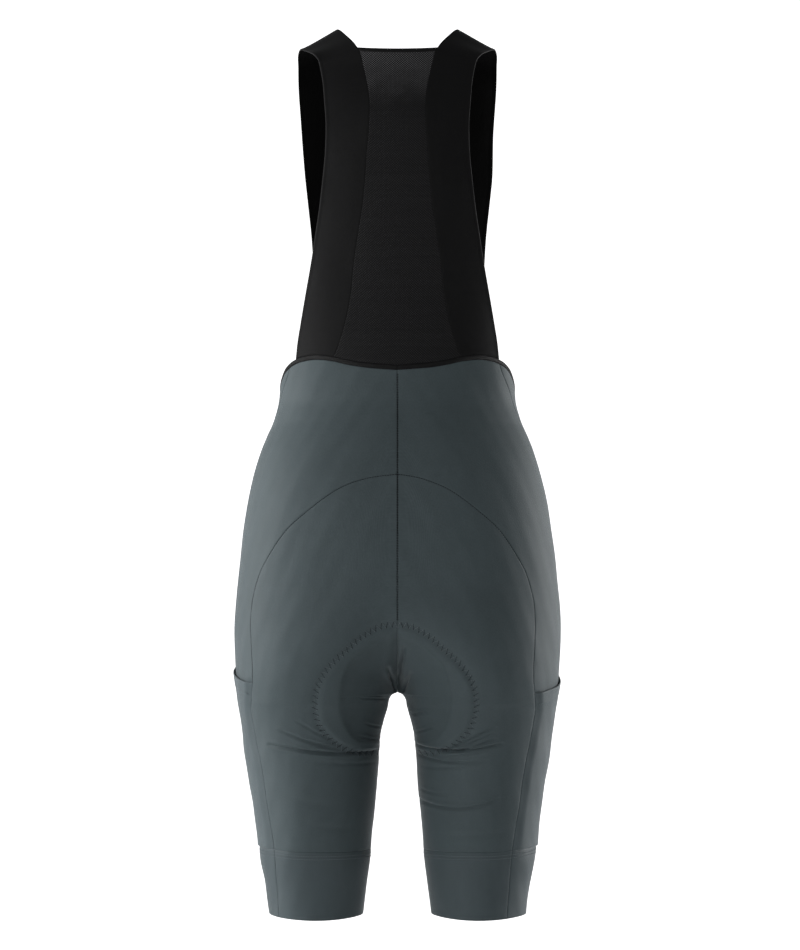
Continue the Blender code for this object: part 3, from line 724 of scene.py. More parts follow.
def distance_to(line, x, z):
    """The distance of points from a line of points, and how far along it the nearest place is."""
    best, place, before = np.full(x.shape, 1.0), np.zeros(x.shape), 0.0
    for (ax, az), (bx, bz) in zip(line, line[1:]):
        ux, uz = bx - ax, bz - az
        size = math.hypot(ux, uz)
        t = np.clip(((x - ax) * ux + (z - az) * uz) / size**2, 0, 1)
        away = np.hypot(x - ax - t * ux, z - az - t * uz)
        near = away < best
        best, place = np.where(near, away, best), np.where(near, before + t * size, place)
        before += size
    return best, place / before


def inside(line, x, z):
    """True where a point is inside a closed outline."""
    found = np.zeros(x.shape, bool)
    for (ax, az), (bx, bz) in zip(line, np.roll(line, -1, axis=0)):
        at = ax + (z - az) * (bx - ax) / (bz - az if bz != az else 1)
        found ^= ((az > z) != (bz > z)) & (x < at)
    return found


def pad_line(rows, side, face, count=60):
    """One of the pad's lines on one half, from the middle down; it sits a little off centre."""
    length, line_x, line_z = line_curves(rows)
    fine = np.linspace(0, length, count)
    x = line_x(fine)
    x -= side * PAD_SKEW * np.minimum(1, x / SKEW_FULL_X) * (face < 0)
    return np.column_stack([x, line_z(fine)])


def inside_pad_line(rows, side, face, x, z):
    """How far points are from one of the pad's lines, and which of them are inside it."""
    line = pad_line(rows, side, face)
    foot_x, foot_z = line[-1]
    closed = [[foot_x, PAST_PAD_Z], [PAST_PAD_X, PAST_PAD_Z], [PAST_PAD_X, line[0][1]]]
    closed = np.concatenate([line, closed])
    within = inside(closed, x, z) | ((x < foot_x) & (z < CROTCH_Z) & (z > foot_z))
    return distance_to(line, x, z)[0], within


def face_share(y, z, face):
    """How far a point belongs to the back or the front, blended round the side of the leg."""
    return ease((y - side_y(z)) * face / FACE_BLEND + 0.5)


def backwards(y, z, face):
    """How far a point is towards the back or the front from the side of the leg, up to 1."""
    return ease((y - side_y(z)) * face / PAD_BLEND)


def crease_depth(x, y, z, side):
    """How far the creases of one half press the cloth in, or lift it where negative."""
    depth = np.zeros(x.shape)
    for crease in CREASES:
        if crease.side != side:
            continue
        t = np.linspace(0, 1, 14)
        line_x = (crease.start_x + (crease.end_x - crease.start_x) * t) * MM
        line_z = (crease.start_z + (crease.end_z - crease.start_z) * t) * MM
        line_z = line_z - crease.sag * MM * 4 * t * (1 - t)
        away, place = distance_to(np.column_stack([line_x, line_z]), x, z)
        width = crease.width * MM
        above = z > np.interp(x, line_x[::-1], line_z[::-1])
        groove = np.exp(-((away / width) ** 2))
        roll = np.exp(-(((away - ROLL_AWAY * width) / (ROLL_WIDTH * width)) ** 2))
        roll *= np.where(above, ROLL_ABOVE, ROLL_BELOW)
        fade = np.sin(math.pi * (0.05 + 0.9 * place)) ** 0.7
        depth += crease.depth * MM * fade * (groove - roll) * face_share(y, z, crease.face)
    return depth


def pad_lift(x, y, z, side):
    """How far the pad's rim lifts the cloth, and the stitches round it draw it down."""
    sizes = bpy.context.scene.bib_sewing
    lift = np.zeros(x.shape)
    for face, rows, reach in ((-1, PAD_BACK_EDGE, 7 * MM), (1, PAD_FRONT_EDGE, 12 * MM)):
        away, within = inside_pad_line(rows, side, face, x, z)
        lift += sizes.pad_rim * ease(away / reach) * within * backwards(y, z, face)
    away, _ = distance_to(pad_line(PAD_BACK_EDGE, side, -1), x, z)
    groove = sizes.stitch_groove * np.exp(-((away / GROOVE_WIDTH) ** 2))
    return lift - groove * face_share(y, z, -1)


def relief_at(points, side):
    """How far the cloth of one side stands off its form, with the slow waves of wear."""
    x, y, z = np.moveaxis(points, -1, 0)
    relief = np.zeros(x.shape)
    for wave in WAVES:
        turn = wave.x * x + wave.y * y + wave.z * z + wave.start + WAVE_SHIFT * side
        relief += wave.height * MM * np.sin(turn)
    return relief - crease_depth(x, y, z, side) + pad_lift(x, y, z, side)


def drawn_in(points, side):
    """How far the cloth is drawn forward off the form's back, or back off its front.

    It sinks between the pad's rims and in the cleft, and it bridges the turn at the crotch."""
    x, y, z = np.moveaxis(points, -1, 0)
    away, within = inside_pad_line(PAD_BACK_STEP, side, -1, x, z)
    steep, slow = 1 - np.exp(-away / HOLLOW_EDGE), 1 - np.exp(-away / HOLLOW_REACH)
    sides = STEEP_SHARE * steep + (1 - STEEP_SHARE) * slow
    shift = bpy.context.scene.bib_sewing.pad_hollow * sides * within * backwards(y, z, -1)
    sunk = np.clip((CLEFT_TOP_Z - z) / (CLEFT_TOP_Z - CROTCH_Z), 0, 1)
    cleft = CLEFT_DEPTH * sunk * np.exp(-((x / (CLEFT_WIDTH * (0.4 + 0.6 * sunk))) ** 2))
    cleft *= ease((z - CROTCH_Z + CLEFT_FOOT) / CLEFT_FOOT)
    shift += cleft * (backwards(y, z, -1) - backwards(y, z, 1))
    behind = y < side_y(z)
    near = ease((x - 12 * MM) / (10 * MM)) * ease(1 - np.abs(z - CROTCH_Z) / (45 * MM))
    eased = np.mean([reach_at(x, z + rise * MM, behind) for rise in TURN_RISES], axis=0)
    return shift + np.where(behind, -1, 1) * (eased - reach_at(x, z, behind)) * near


def pucker(edge_away, run):
    """Small gathers beside a seam."""
    wave = np.sin(run / (2.4 * MM)) + 0.6 * np.sin(run / (3.9 * MM) + 1.3)
    return PUCKER_HEIGHT * wave * np.exp(-edge_away / PUCKER_REACH) * ease(edge_away / EDGE_ROLL)


def slack(points, side):
    """Slow waves down a sheet that no seam holds flat."""
    x, y, z = np.moveaxis(points, -1, 0)
    slow = np.sin(38 * z + 1.3 * side) * np.sin(27 * x + 12 * y + side)
    return (0.5 * slow + 0.14 * np.sin(96 * z - 31 * x + 2.2 * side)) * MM


# ---------------------------------------------------------------- meshes


def walked(points, axis):
    """How far each point of a grid is from the grid's first row or column, over the cloth."""
    first = np.take(points, [0], axis=axis)
    steps = np.linalg.norm(np.diff(points, axis=axis, prepend=first), axis=-1)
    return np.cumsum(steps, axis=axis)


def side_distance(points):
    """Each point's distance from the nearer of the two side edges of its grid."""
    across = walked(points, 1)
    return np.minimum(across, across[:, -1:] - across)


def edge_distance(points, ring=False):
    """Each point's distance from the nearest edge of its grid, measured over the cloth."""
    down = walked(points, 0)
    away = np.minimum(down, down[-1] - down)
    if ring:
        return away
    # a row that meets its side edge at a slant is nearer to it than along the row
    slants = []
    for column, beside in ((0, 4), (-1, -5)):
        edge = np.gradient(points[:, column], axis=0)
        row = points[:, beside] - points[:, column]
        sine = np.linalg.norm(np.cross(edge, row), axis=-1)
        sine /= np.maximum(np.linalg.norm(edge, axis=-1) * np.linalg.norm(row, axis=-1), 1e-12)
        slants.append(sine[:, None])
    across = walked(points, 1)
    near = np.minimum(across * slants[0], (across[:, -1:] - across) * slants[1])
    return np.minimum(away, near)


def smooth_object(name, mesh):
    mesh.polygons.foreach_set("use_smooth", np.ones(len(mesh.polygons), bool))
    obj = bpy.data.objects.new(name, mesh)
    bpy.context.scene.collection.objects.link(obj)
    return obj


def shell(name, outside, inner, uv, side=1, ring=False):
    """A closed shell between two grids of the same size, with its uv map in metres."""
    rows, columns = outside.shape[:2]
    count = rows * columns
    points = np.concatenate([outside.reshape(-1, 3), inner.reshape(-1, 3)]) * [side, 1, 1]
    grid = np.arange(count).reshape(rows, columns)
    if ring:
        grid = np.concatenate([grid, grid[:, :1]], axis=1)
    outer = np.stack([grid[:-1, :-1], grid[1:, :-1], grid[1:, 1:], grid[:-1, 1:]], axis=-1)
    outer = outer.reshape(-1, 4)
    edges = [(grid[0, :-1], grid[0, 1:]), (grid[-1, 1:], grid[-1, :-1])]
    if not ring:
        edges += [(grid[1:, 0], grid[:-1, 0]), (grid[:-1, -1], grid[1:, -1])]
    rims = [np.stack([a, b, b + count, a + count], axis=-1) for a, b in edges]
    faces = np.concatenate([outer, outer[:, ::-1] + count, *rims])
    if side < 0:
        faces = faces[:, ::-1]
    mesh = bpy.data.meshes.new(name)
    mesh.vertices.add(len(points))
    mesh.vertices.foreach_set("co", points.ravel())
    mesh.loops.add(faces.size)
    mesh.loops.foreach_set("vertex_index", faces.ravel())
    mesh.polygons.add(len(faces))
    mesh.polygons.foreach_set("loop_start", np.arange(0, faces.size, 4))
    mesh.update(calc_edges=True)
    mesh.validate()
    both = np.tile(uv.reshape(-1, 2), (2, 1))
    layer = mesh.uv_layers.new(name="cloth")
    layer.data.foreach_set("uv", both[faces.ravel()].ravel())
    return smooth_object(name, mesh)


def cloth(name, base, normal, away, wall, uv, side=1, ring=False):
    """A wall of cloth under a grid of points, whose edges roll under."""
    t = np.clip(1 - away / EDGE_ROLL, 0, 1)
    drop = (EDGE_DROP * wall * (1 - np.sqrt(1 - t * t * EDGE_ROUND)))[..., None]
    inner = base - normal * (wall - INNER_DROP * drop)
    return shell(name, base - normal * drop, inner, uv, side, ring)


def declare(base):
    """Works out what a panel was cut to, its worn size less the stretch of wear, but neither keeps
    nor returns it.
    """
    stretch = bpy.context.scene.bib_cloth.stretch
    down, across = (
        np.linalg.norm(np.diff(base, axis=axis), axis=-1).sum(axis=axis).max() / stretch
        for axis in (0, 1)
    )
    sides = np.cross(base[1:, :-1] - base[:-1, :-1], base[:-1, 1:] - base[:-1, :-1])
    area = np.linalg.norm(sides, axis=-1).sum() / stretch**2
    area = min(max(area, LEAST_SHARE * down * across), down * across)


def finished(obj, node, slot_name, *looks):
    """Gives a piece its materials, and puts it in the place of its part of the frame."""
    for look in looks:
        obj.data.materials.append(look)
    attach(obj, "root")
    if node:
        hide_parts(node)


def cloth_on_form(name, rows, side, wall, lift=None):
    """A panel that lies on the form, with its creases, the pad's relief and rolled edges."""
    angle, z, along = np.moveaxis(np.array(rows), 1, 0)
    points = on_form(angle, z)
    for end, turn in ((0, -1), (-1, 1)):
        inside_leg = (z[:, end] <= CROTCH_Z) & (np.abs(np.abs(angle[:, end]) - math.pi) < 1e-6)
        points[inside_leg, end, 1] += turn * HALF_GAP
    normal = form_normal(points)
    away = edge_distance(points)
    relief = relief_at(points, side) + pucker(away, along + z)
    if lift is not None:
        relief = relief + lift(points, angle, z)
    base = points + normal * relief[..., None]
    base[..., 1] += drawn_in(points, side)
    base = np.where((base[..., :1] < 0) & (z[..., None] > CROTCH_Z), base * [0, 1, 1], base)
    mean = (half_width(z) - lobe_centre(z) + back_reach(z)) / 2
    obj = cloth(name, base, normal, away, wall, np.stack([mean * angle, z], axis=-1), side)
    declare(base)
    return obj


def free_sheet(name, points, side, wall, relief, tape=False):
    """A sheet through a grid of points, with relief outwards and rolled edges."""
    normal = np.cross(np.gradient(points, axis=0), np.gradient(points, axis=1))
    normal /= np.maximum(np.linalg.norm(normal, axis=-1, keepdims=True), 1e-12)
    base = points + normal * relief[..., None]
    across = walked(points, 1)
    uv = np.stack([across - across[:, -1:] / 2, -walked(points, 0)], axis=-1)
    obj = cloth(name, base, normal, edge_distance(points), wall, uv, side)
    if not tape:
        declare(base)
    return obj


# ---------------------------------------------------------------- the bib


def body_row(inner, outer, z, behind, shares):
    """One row of the bib on the body; without a height it follows the waistband."""
    x = inner + (outer - inner) * shares
    heights = (LEVEL_Z if z is None else z) + 0 * x
    for _ in range(SEARCH_TURNS if z is None else 0):
        turn = np.arccos(np.clip(np.abs(x) / half_width(heights), 0, 1))
        heights = waist_z(-turn if behind else turn) + BAND_HEIGHT + SEAM_GAP
    round_off = np.sqrt(np.maximum(1 - (x / half_width(heights)) ** 2, 0))
    reach = -back_reach(heights) if behind else front_reach(heights)
    return np.stack([x, reach * round_off, heights], axis=-1)


def neck_row(rise, shares):
    """A row across the back of the neck, this far above the mesh panel's top."""
    low, high = np.array(SHOULDER[0].inner) * MM, np.array(SHOULDER[1].inner) * MM
    corner = low + (high - low) * rise / (high[2] - low[2])
    across = 2 * shares - 1
    bow = 1 - across**2
    x = across * (corner[0] - SEAM_GAP)
    return np.stack([x, corner[1] - NECK_BACK_SAG * bow, corner[2] - NECK_DROP * bow], axis=-1)


def strap_points(columns=36):
    """The right strap, from the front of the waist over the shoulder to the back."""
    shares = with_leads(STRAP_WIDTH, columns) / STRAP_WIDTH
    foot = mesh_seam_x(BIB_FOOT_Z) + HALF_GAP, bib_edge_x(BIB_FOOT_Z)
    rows = [body_row(*foot, None, True, shares)]
    for row in BIB_BACK[1:]:
        rows.append(body_row(row.seam * MM + HALF_GAP, row.edge * MM, row.z * MM, True, shares))
    for row in SHOULDER:
        inner, outer = np.array(row.inner) * MM, np.array(row.outer) * MM
        rows.append(inner + (outer - inner) * shares[:, None])
    for row in BIB_FRONT:
        z = None if row is BIB_FRONT[-1] else row.z * MM
        rows.append(body_row(row.inner * MM, row.outer * MM, z, False, shares))
    return through_rows(rows[::-1], with_leads(STRAP_LENGTH, 250) / STRAP_LENGTH)


def mesh_points(columns=60):
    """The mesh panel, from the neck down to the waistband."""
    inset = HALF_GAP - MESH_TUCK
    shares = with_leads(MESH_WIDTH, columns) / MESH_WIDTH
    foot = mesh_seam_x(BIB_FOOT_Z) - inset
    rows = [body_row(-foot, foot, None, True, shares)]
    for row in BIB_BACK[1:]:
        seam = row.seam * MM - inset
        rows.append(body_row(-seam, seam, row.z * MM, True, shares))
    rows.append(neck_row(0, shares))
    return through_rows(rows[::-1], with_leads(MESH_LENGTH, 150) / MESH_LENGTH)


# ---------------------------------------------------------------- sewing


def sewn_route(angle, z, side):
    """Points and normals on the finished cloth at angles and heights, on one side."""
    points = on_form(angle, z)
    normal = form_normal(points)
    sewn = points + normal * relief_at(points, side)[..., None]
    sewn[..., 1] += drawn_in(points, side)
    return sewn * [side, 1, 1], normal * [side, 1, 1]


def even_places(points, step):
    """Places along a line of points, evenly spaced, as fractional indices."""
    lengths = np.linalg.norm(np.diff(points, axis=0), axis=-1)
    length = np.concatenate([[0], np.cumsum(lengths)])
    count = max(2, int(round(length[-1] / step)) + 1)
    return np.interp(np.linspace(0, length[-1], count), length, np.arange(len(points)))


def at_places(values, places):
    index = np.arange(len(values))
    return np.stack([np.interp(places, index, column) for column in values.T], axis=-1)


def straight_stitches(points, normals, step):
    """Starts, ends and normals of a row of stitches along a line."""
    places = even_places(points, step)
    ends = at_places(points, places)
    normal = at_places(normals, (places[1:] + places[:-1]) / 2)
    gap = (ends[1:] - ends[:-1]) * STITCH_GAP / 2
    return ends[:-1] + gap, ends[1:] - gap, normal


def model_stitch():
    """One stitch, a short thread whose ends dip into the cloth: its points and faces."""
    bpy.ops.object.select_all(action="DESELECT")
    bpy.ops.mesh.primitive_cylinder_add(
        vertices=6, radius=1, depth=2, end_fill_type="TRIFAN", rotation=(0, math.pi / 2, 0)
    )
    bpy.ops.object.transform_apply(location=False, rotation=True, scale=True)
    bpy.ops.object.mode_set(mode="EDIT")
    for x in (-0.55, 0.55):
        bpy.ops.mesh.select_all(action="SELECT")
        bpy.ops.mesh.bisect(plane_co=(x, 0, 0), plane_no=(1, 0, 0))
    bpy.ops.object.mode_set(mode="OBJECT")
    stitch = bpy.context.object
    points = np.array([v.co for v in stitch.data.vertices])
    faces = [list(polygon.vertices) for polygon in stitch.data.polygons]
    bpy.data.objects.remove(stitch, do_unlink=True)
    ends = np.abs(points[:, 0]) > 0.9
    points[:, 2] -= np.where(ends, 1.1, 0)
    points[ends, 1:] *= 0.7
    return points, faces


def sew(name, starts, ends, normals, look):
    """One object of many stitches, each from a start to an end, standing on the cloth."""
    radius = bpy.context.scene.bib_sewing.thread / 2
    shape, faces = model_stitch()
    size = np.linalg.norm(ends - starts, axis=-1, keepdims=True)
    along = (ends - starts) / size
    across = np.cross(normals, along)
    across = across / np.linalg.norm(across, axis=-1, keepdims=True)
    up = np.cross(along, across)
    points = ((starts + ends) / 2 + up * radius * THREAD_RISE)[:, None]
    points = points + along[:, None] * (shape[:, 0] * 0.5)[None, :, None] * size[:, None]
    for axis, part in ((across, shape[:, 1]), (up, shape[:, 2])):
        points = points + axis[:, None] * (part * radius)[None, :, None]
    offsets = range(0, len(starts) * len(shape), len(shape))
    whole = [[v + offset for v in face] for offset in offsets for face in faces]
    mesh = bpy.data.meshes.new(name)
    mesh.from_pydata(points.reshape(-1, 3).tolist(), [], whole)
    finished(smooth_object(name, mesh), None, "slate_knit", look)


# ---------------------------------------------------------------- materials


class Look:
    """A material while it is made, with its shader and short ways to add its nodes."""

    def __init__(self, name, roughness):
        self.made = bpy.data.materials.new(name)
        self.made.use_nodes = True
        self.tree = self.made.node_tree
        self.sockets = self.tree.nodes["Principled BSDF"].inputs
        self.feed(self.sockets["Roughness"], roughness)

    def feed(self, socket, value):
        """Puts a number, a colour or another node's output into a socket."""
        if isinstance(value, bpy.types.NodeSocket):
            self.tree.links.new(value, socket)
        else:
            socket.default_value = value

    def node(self, kind, inputs=(), output=0, **settings):
        """Adds a node with its settings and its inputs, by place or name, and gives an output."""
        node = self.tree.nodes.new("ShaderNode" + kind)
        for key, value in settings.items():
            setattr(node, key, value)
        for key, value in inputs.items() if isinstance(inputs, dict) else enumerate(inputs):
            self.feed(node.inputs[key], value)
        return node.outputs[output]

    def maths(self, operation, *values):
        return self.node("Math", values, operation=operation)

    @cached_property
    def place(self):
        return self.node("TexCoord", output="Object")

    @cached_property
    def cloth(self):
        return self.node("UVMap", uv_map="cloth")

    def part(self, vector, axis):
        return self.node("SeparateXYZ", (vector,), axis)

    def noise(self, vector, scale, detail=2.0):
        """A noise pattern, whose scale is one number for each direction, in 1/metres."""
        moved = self.node("Mapping", {"Vector": vector, "Scale": scale})
        return self.node("TexNoise", {"Vector": moved, "Scale": 1.0, "Detail": detail}, "Fac")

    def between(self, *values):
        """A value moved from one range to another, and held there."""
        return self.node("MapRange", values, interpolation_type="SMOOTHSTEP")

    def ribs(self, width):
        """Even ribs along the cloth, from 0 to 1, each this wide."""
        turns = self.maths("MULTIPLY", self.part(self.cloth, "X"), 2 * math.pi / width)
        return self.maths("MULTIPLY_ADD", self.maths("SINE", turns), 0.5, 0.5)

    def shade(self, colour, tone):
        """The base colour, made lighter or darker by a tone."""
        inputs = {0: tuple(colour[:3]), "Scale": tone}
        self.feed(self.sockets["Base Color"], self.node("VectorMath", inputs, operation="SCALE"))

    def soften(self, sheen, roughness, gloss):
        self.feed(self.sockets["Sheen Weight"], sheen)
        self.feed(self.sockets["Sheen Roughness"], roughness)
        self.feed(self.sockets["Sheen Tint"], (0.92, 0.97, 1.0, 1))
        self.feed(self.sockets["Specular IOR Level"], gloss)

    def bump(self, height, distance, strength=1.0):
        inputs = {"Height": height, "Distance": distance, "Strength": strength}
        self.feed(self.sockets["Normal"], self.node("Bump", inputs))


def knit_material(name, colour, gauge, relief, roughness, sheen, gloss):
    """Stretch knit: fine ribs down the cloth, crossed by an uneven grain, and a soft sheen."""
    look = Look(name, roughness)
    grain = look.noise(look.cloth, (0.8 / gauge, 0.45 / gauge, 1))
    tone = look.maths("MULTIPLY_ADD", look.noise(look.place, (16, 16, 16), 3.0), 0.22, 0.82)
    tone = look.maths("MULTIPLY_ADD", look.noise(look.place, (140, 140, 90)), 0.12, tone)
    tone = look.maths("MULTIPLY_ADD", grain, 0.24, look.maths("SUBTRACT", tone, 0.13))
    look.shade(colour, tone)
    look.soften(sheen, 0.28, gloss)
    look.bump(look.maths("MULTIPLY_ADD", look.ribs(gauge), 0.45, grain), relief)
    return look.made


def mesh_material(name, colour, pitch, rise):
    """Fine mesh: rows of small staggered holes, lightened near the neck as painted light for the
    backdrop seen through them, and fading lower down into painted shade for the inside.
    """
    look = Look(name, 0.7)
    holes = []
    for shift in (0.0, 0.5):
        away = []
        for axis, step in (("X", pitch), ("Y", 2 * rise)):
            turns = look.maths("DIVIDE", look.part(look.cloth, axis), step)
            turn = look.maths("FRACT", look.maths("ADD", turns, shift))
            away.append(look.maths("MULTIPLY", look.maths("SUBTRACT", turn, 0.5), step))
        square = look.maths("MULTIPLY", away[0], away[0])
        middle = look.maths("SQRT", look.maths("MULTIPLY_ADD", away[1], away[1], square))
        holes.append(look.between(middle, HOLE_INNER, HOLE_OUTER, 1.0, 0.0))
    holes = look.maths("MAXIMUM", *holes)
    uneven = look.maths("MULTIPLY_ADD", look.noise(look.place, (60, 60, 60)), 0.03, -0.015)
    # Painted light: the holes are lightened most near the neck and fade downwards, as painted shade
    # of the inside
    level = look.maths("ADD", look.part(look.place, "Z"), uneven)
    painted_light_through = look.between(level, MESH_SHADED_THROUGH_Z, MESH_LIT_THROUGH_Z, 0.16, 1.0)
    tone = look.maths("MULTIPLY_ADD", look.maths("MULTIPLY", holes, painted_light_through), 13.0, 0.8)
    bands = look.noise(look.place, (6, 6, 320), 1.0)
    look.shade(colour, look.maths("MULTIPLY_ADD", bands, 0.5, tone))
    look.soften(0.04, 0.3, 0.05)
    look.bump(look.maths("SUBTRACT", 1.0, holes), 0.25 * MM, 0.8)
    return look.made


def elastic_material(name, colour, rib):
    """Narrow woven elastic: close ribs across the band."""
    look = Look(name, 0.6)
    ribs = look.ribs(rib)
    look.shade(colour, look.maths("MULTIPLY_ADD", ribs, 0.3, 0.8))
    look.soften(0.04, 0.3, 0.08)
    look.bump(ribs, 0.2 * MM)
    return look.made


def foam_material(name, colour):
    """Brushed pad cover: a fine dimpled grid under a soft nap."""
    look = Look(name, 0.9)
    nap = look.noise(look.place, (900, 900, 900), 3.0)
    slow = look.noise(look.place, (40, 40, 40))
    waves = []
    for axis in "XZ":
        turns = look.maths("MULTIPLY", look.part(look.place, axis), 2 * math.pi / FOAM_DIMPLE)
        waves.append(look.maths("SINE", turns))
    dimples = look.maths("MULTIPLY", *waves)
    tone = look.maths("MULTIPLY_ADD", nap, 0.2, 0.75)
    look.shade(colour, look.maths("MULTIPLY_ADD", slow, 0.3, tone))
    look.soften(0.3, 0.4, 0.1)
    look.bump(look.maths("MULTIPLY_ADD", dimples, 0.4, nap), 0.35 * MM)
    return look.made


def thread_material(name, colour):
    """Twisted polyester thread, nearly matt."""
    look = Look(name, 0.6)
    twist = look.noise(look.place, (2600, 2600, 2600), 1.0)
    look.shade(colour, look.maths("MULTIPLY_ADD", twist, 0.5, 0.75))
    look.soften(0.1, 0.3, 0.12)
    look.bump(twist, 0.05 * MM)
    return look.made


def paper_material(name, colour, glow):
    """Seamless studio paper: matt, with a faint mottle, and lit evenly where it stands up."""
    look = Look(name, 0.95)
    mottle = look.noise(look.place, (9, 9, 9), 3.0)
    look.shade(colour, look.maths("MULTIPLY_ADD", mottle, 0.02, 0.98))
    look.feed(look.sockets["Emission Color"], (1, 1, 1, 1))
    level = look.part(look.place, "Z")
    lit = look.between(level, PAPER_LIT_Z, PAPER_LIT_Z + 0.25, 0.0, glow)
    look.feed(look.sockets["Emission Strength"], lit)
    return look.made


# Each knit's colour and how much of it, its ribs' width, relief in millimetres, roughness,
# sheen and gloss
KNITS = {
    "slate_knit_cloth": ("slate_colour", 1.0, 1.0, 0.10, 0.62, 0.4, 0.12),
    "pocket_knit_cloth": ("pocket_colour", 1.0, 1.0, 0.09, 0.6, 0.35, 0.12),
    "cuff_knit_cloth": ("cuff_colour", 1.0, 0.6, 0.05, 0.5, 0.3, 0.12),
    "black_knit_cloth": ("black_colour", 1.0, 1.0, 0.10, 0.66, 0.06, 0.06),
    # the straps' inside faces: the black knit made darker as painted shade
    "black_knit_lining": ("black_colour", INSIDE_PAINTED_SHADE, 1.0, 0.10, 0.8, 0.0, 0.02),
}


def kept(name, make, *values):
    """The material of that name, made where it isn't there yet."""
    return bpy.data.materials.get(name) or make(name, *values)


def knit(name):
    settings = bpy.context.scene.bib_cloth
    colour, shade, ribs, relief, *finish = KNITS[name]
    colour = [shade * part for part in getattr(settings, colour)]
    return kept(name, knit_material, colour, ribs * settings.gauge, relief * MM, *finish)


def black_elastic():
    colour = bpy.context.scene.bib_cloth.black_colour
    return kept("black_elastic_tape", elastic_material, colour, ELASTIC_RIB)


def thread(name):
    """The light or the dark thread."""
    colour = getattr(bpy.context.scene.bib_sewing, f"{name}_colour")
    return kept(f"{name}_thread", thread_material, colour)


# ---------------------------------------------------------------- settings


def length_setting(name, description, default, least):
    return FloatProperty(
        name=name, description=description, default=default, min=least, unit="LENGTH", precision=5
    )


def power_setting(name, description, default):
    return FloatProperty(name=name, description=description, default=default, min=0, unit="POWER")


def colour_setting(name, description, default):
    return FloatVectorProperty(
        name=name, description=description, default=default, min=0, max=1, size=3, subtype="COLOR"
    )


class BibCloth(bpy.types.PropertyGroup):
    """Sizes and colours of the cloth."""

    stretch: FloatProperty(
        name="Stretch",
        description="How many times wider the cloth is as worn than as cut",
        default=1.12,
        min=1.0,
        max=1.5,
        unit="NONE",
    )
    gauge: length_setting("Knit gauge", "Width of one rib of the knit", 0.9 * MM, 0.2 * MM)
    mesh_pitch: length_setting(
        "Mesh pitch", "Distance between neighbouring holes across the mesh panel", 2.6 * MM, 1 * MM
    )
    mesh_rise: length_setting(
        "Mesh rise",
        "Distance between neighbouring rows of holes in the mesh panel",
        1.25 * MM,
        0.5 * MM,
    )
    slate_colour: colour_setting(
        "Slate", "Colour of the panels of the shorts", (0.052, 0.068, 0.0735)
    )
    pocket_colour: colour_setting("Pocket", "Colour of the pockets", (0.058, 0.0745, 0.081))
    cuff_colour: colour_setting("Cuff", "Colour of the leg grippers", (0.051, 0.066, 0.072))
    black_colour: colour_setting(
        "Black", "Colour of the bib, its mesh and its elastics", (0.0075, 0.0075, 0.0078)
    )
    pad_colour: colour_setting("Pad", "Colour of the seat pad", (0.045, 0.052, 0.058))


class BibSewing(bpy.types.PropertyGroup):
    """Sizes and colours of the sewing."""

    thread: length_setting("Thread", "Thickness of the thread", 0.6 * MM, 0.1 * MM)
    stitch: length_setting("Stitch", "Length of one straight stitch", 2.6 * MM, 1 * MM)
    zigzag_pitch: length_setting(
        "Zigzag pitch", "Length of one whole zigzag round the pad", 6 * MM, 2 * MM
    )
    zigzag_width: length_setting(
        "Zigzag width", "Width of the zigzag round the pad", 6 * MM, 1 * MM
    )
    pad_rim: length_setting("Pad rim", "How far the pad's edge lifts the cloth over it", 2 * MM, 0)
    pad_hollow: length_setting(
        "Pad hollow", "How far the cloth is drawn in between the pad's thick rims", 15 * MM, 0
    )
    stitch_groove: length_setting(
        "Stitch groove", "How far the stitches draw the cloth in round the pad", 0.9 * MM, 0
    )
    pocket_hem: length_setting(
        "Pocket hem", "Depth of the fold along the top of a pocket", 13 * MM, 4 * MM
    )
    # The light thread also serves as painted highlight on the zigzag's outward strokes
    light_colour: colour_setting(
        "Light thread", "Colour of the thread round the pad", (0.088, 0.105, 0.114)
    )
    # The dark thread also serves as painted shade on the zigzag's back strokes, and darkens the
    # arched seam's groove as painted shade
    dark_colour: colour_setting(
        "Dark thread", "Colour of the thread along the seams", (0.010, 0.012, 0.014)
    )


class BibStage(bpy.types.PropertyGroup):
    """The studio round the shorts."""

    floor_drop: FloatProperty(
        name="Floor drop",
        description="How far the floor is below the leg hems",
        default=1.1,
        min=0,
        unit="LENGTH",
    )
    key_power: power_setting("Key light", "Power of the main soft light, at the left", 95)
    rim_power: power_setting(
        "Rim light", "Power of the soft light that catches the right edges", 64
    )
    fill_power: power_setting("Fill light", "Power of the weak light from the front of the set", 50)
    paper_colour: colour_setting("Paper", "Colour of the floor and the backdrop", (0.9, 0.9, 0.9))


# ---------------------------------------------------------------- operators


class BIB_OT_panels(bpy.types.Operator):
    """Sews the hip, seat and front panels of both legs"""

    bl_idname = "bib.panels"
    bl_label = "Panels"

    def execute(self, context):
        for name, side in SIDES:

            def under_pocket(points, angle, z):
                """Makes room at the side seams for the pocket that is sewn in with them."""
                near = 1 - ease(side_distance(points) / POCKET_SLOPE)
                top = pocket_edge_z(angle, side) + UNDER_POCKET_EDGE
                low = ease((top - z) / UNDER_POCKET_EDGE)
                return -(POCKET_WALL + UNDER_POCKET_ROOM) * near * low

            for piece, rows, lift in (
                ("hip", hip_rows, under_pocket),
                ("seat", seat_rows, None),
                ("front", front_rows, None),
            ):
                obj = cloth_on_form(f"{piece}_panel_knit_{name}", rows(side), side, WALL, lift)
                finished(obj, f"{piece}_panel_{name}", "slate_knit", knit("slate_knit_cloth"))
        return {"FINISHED"}


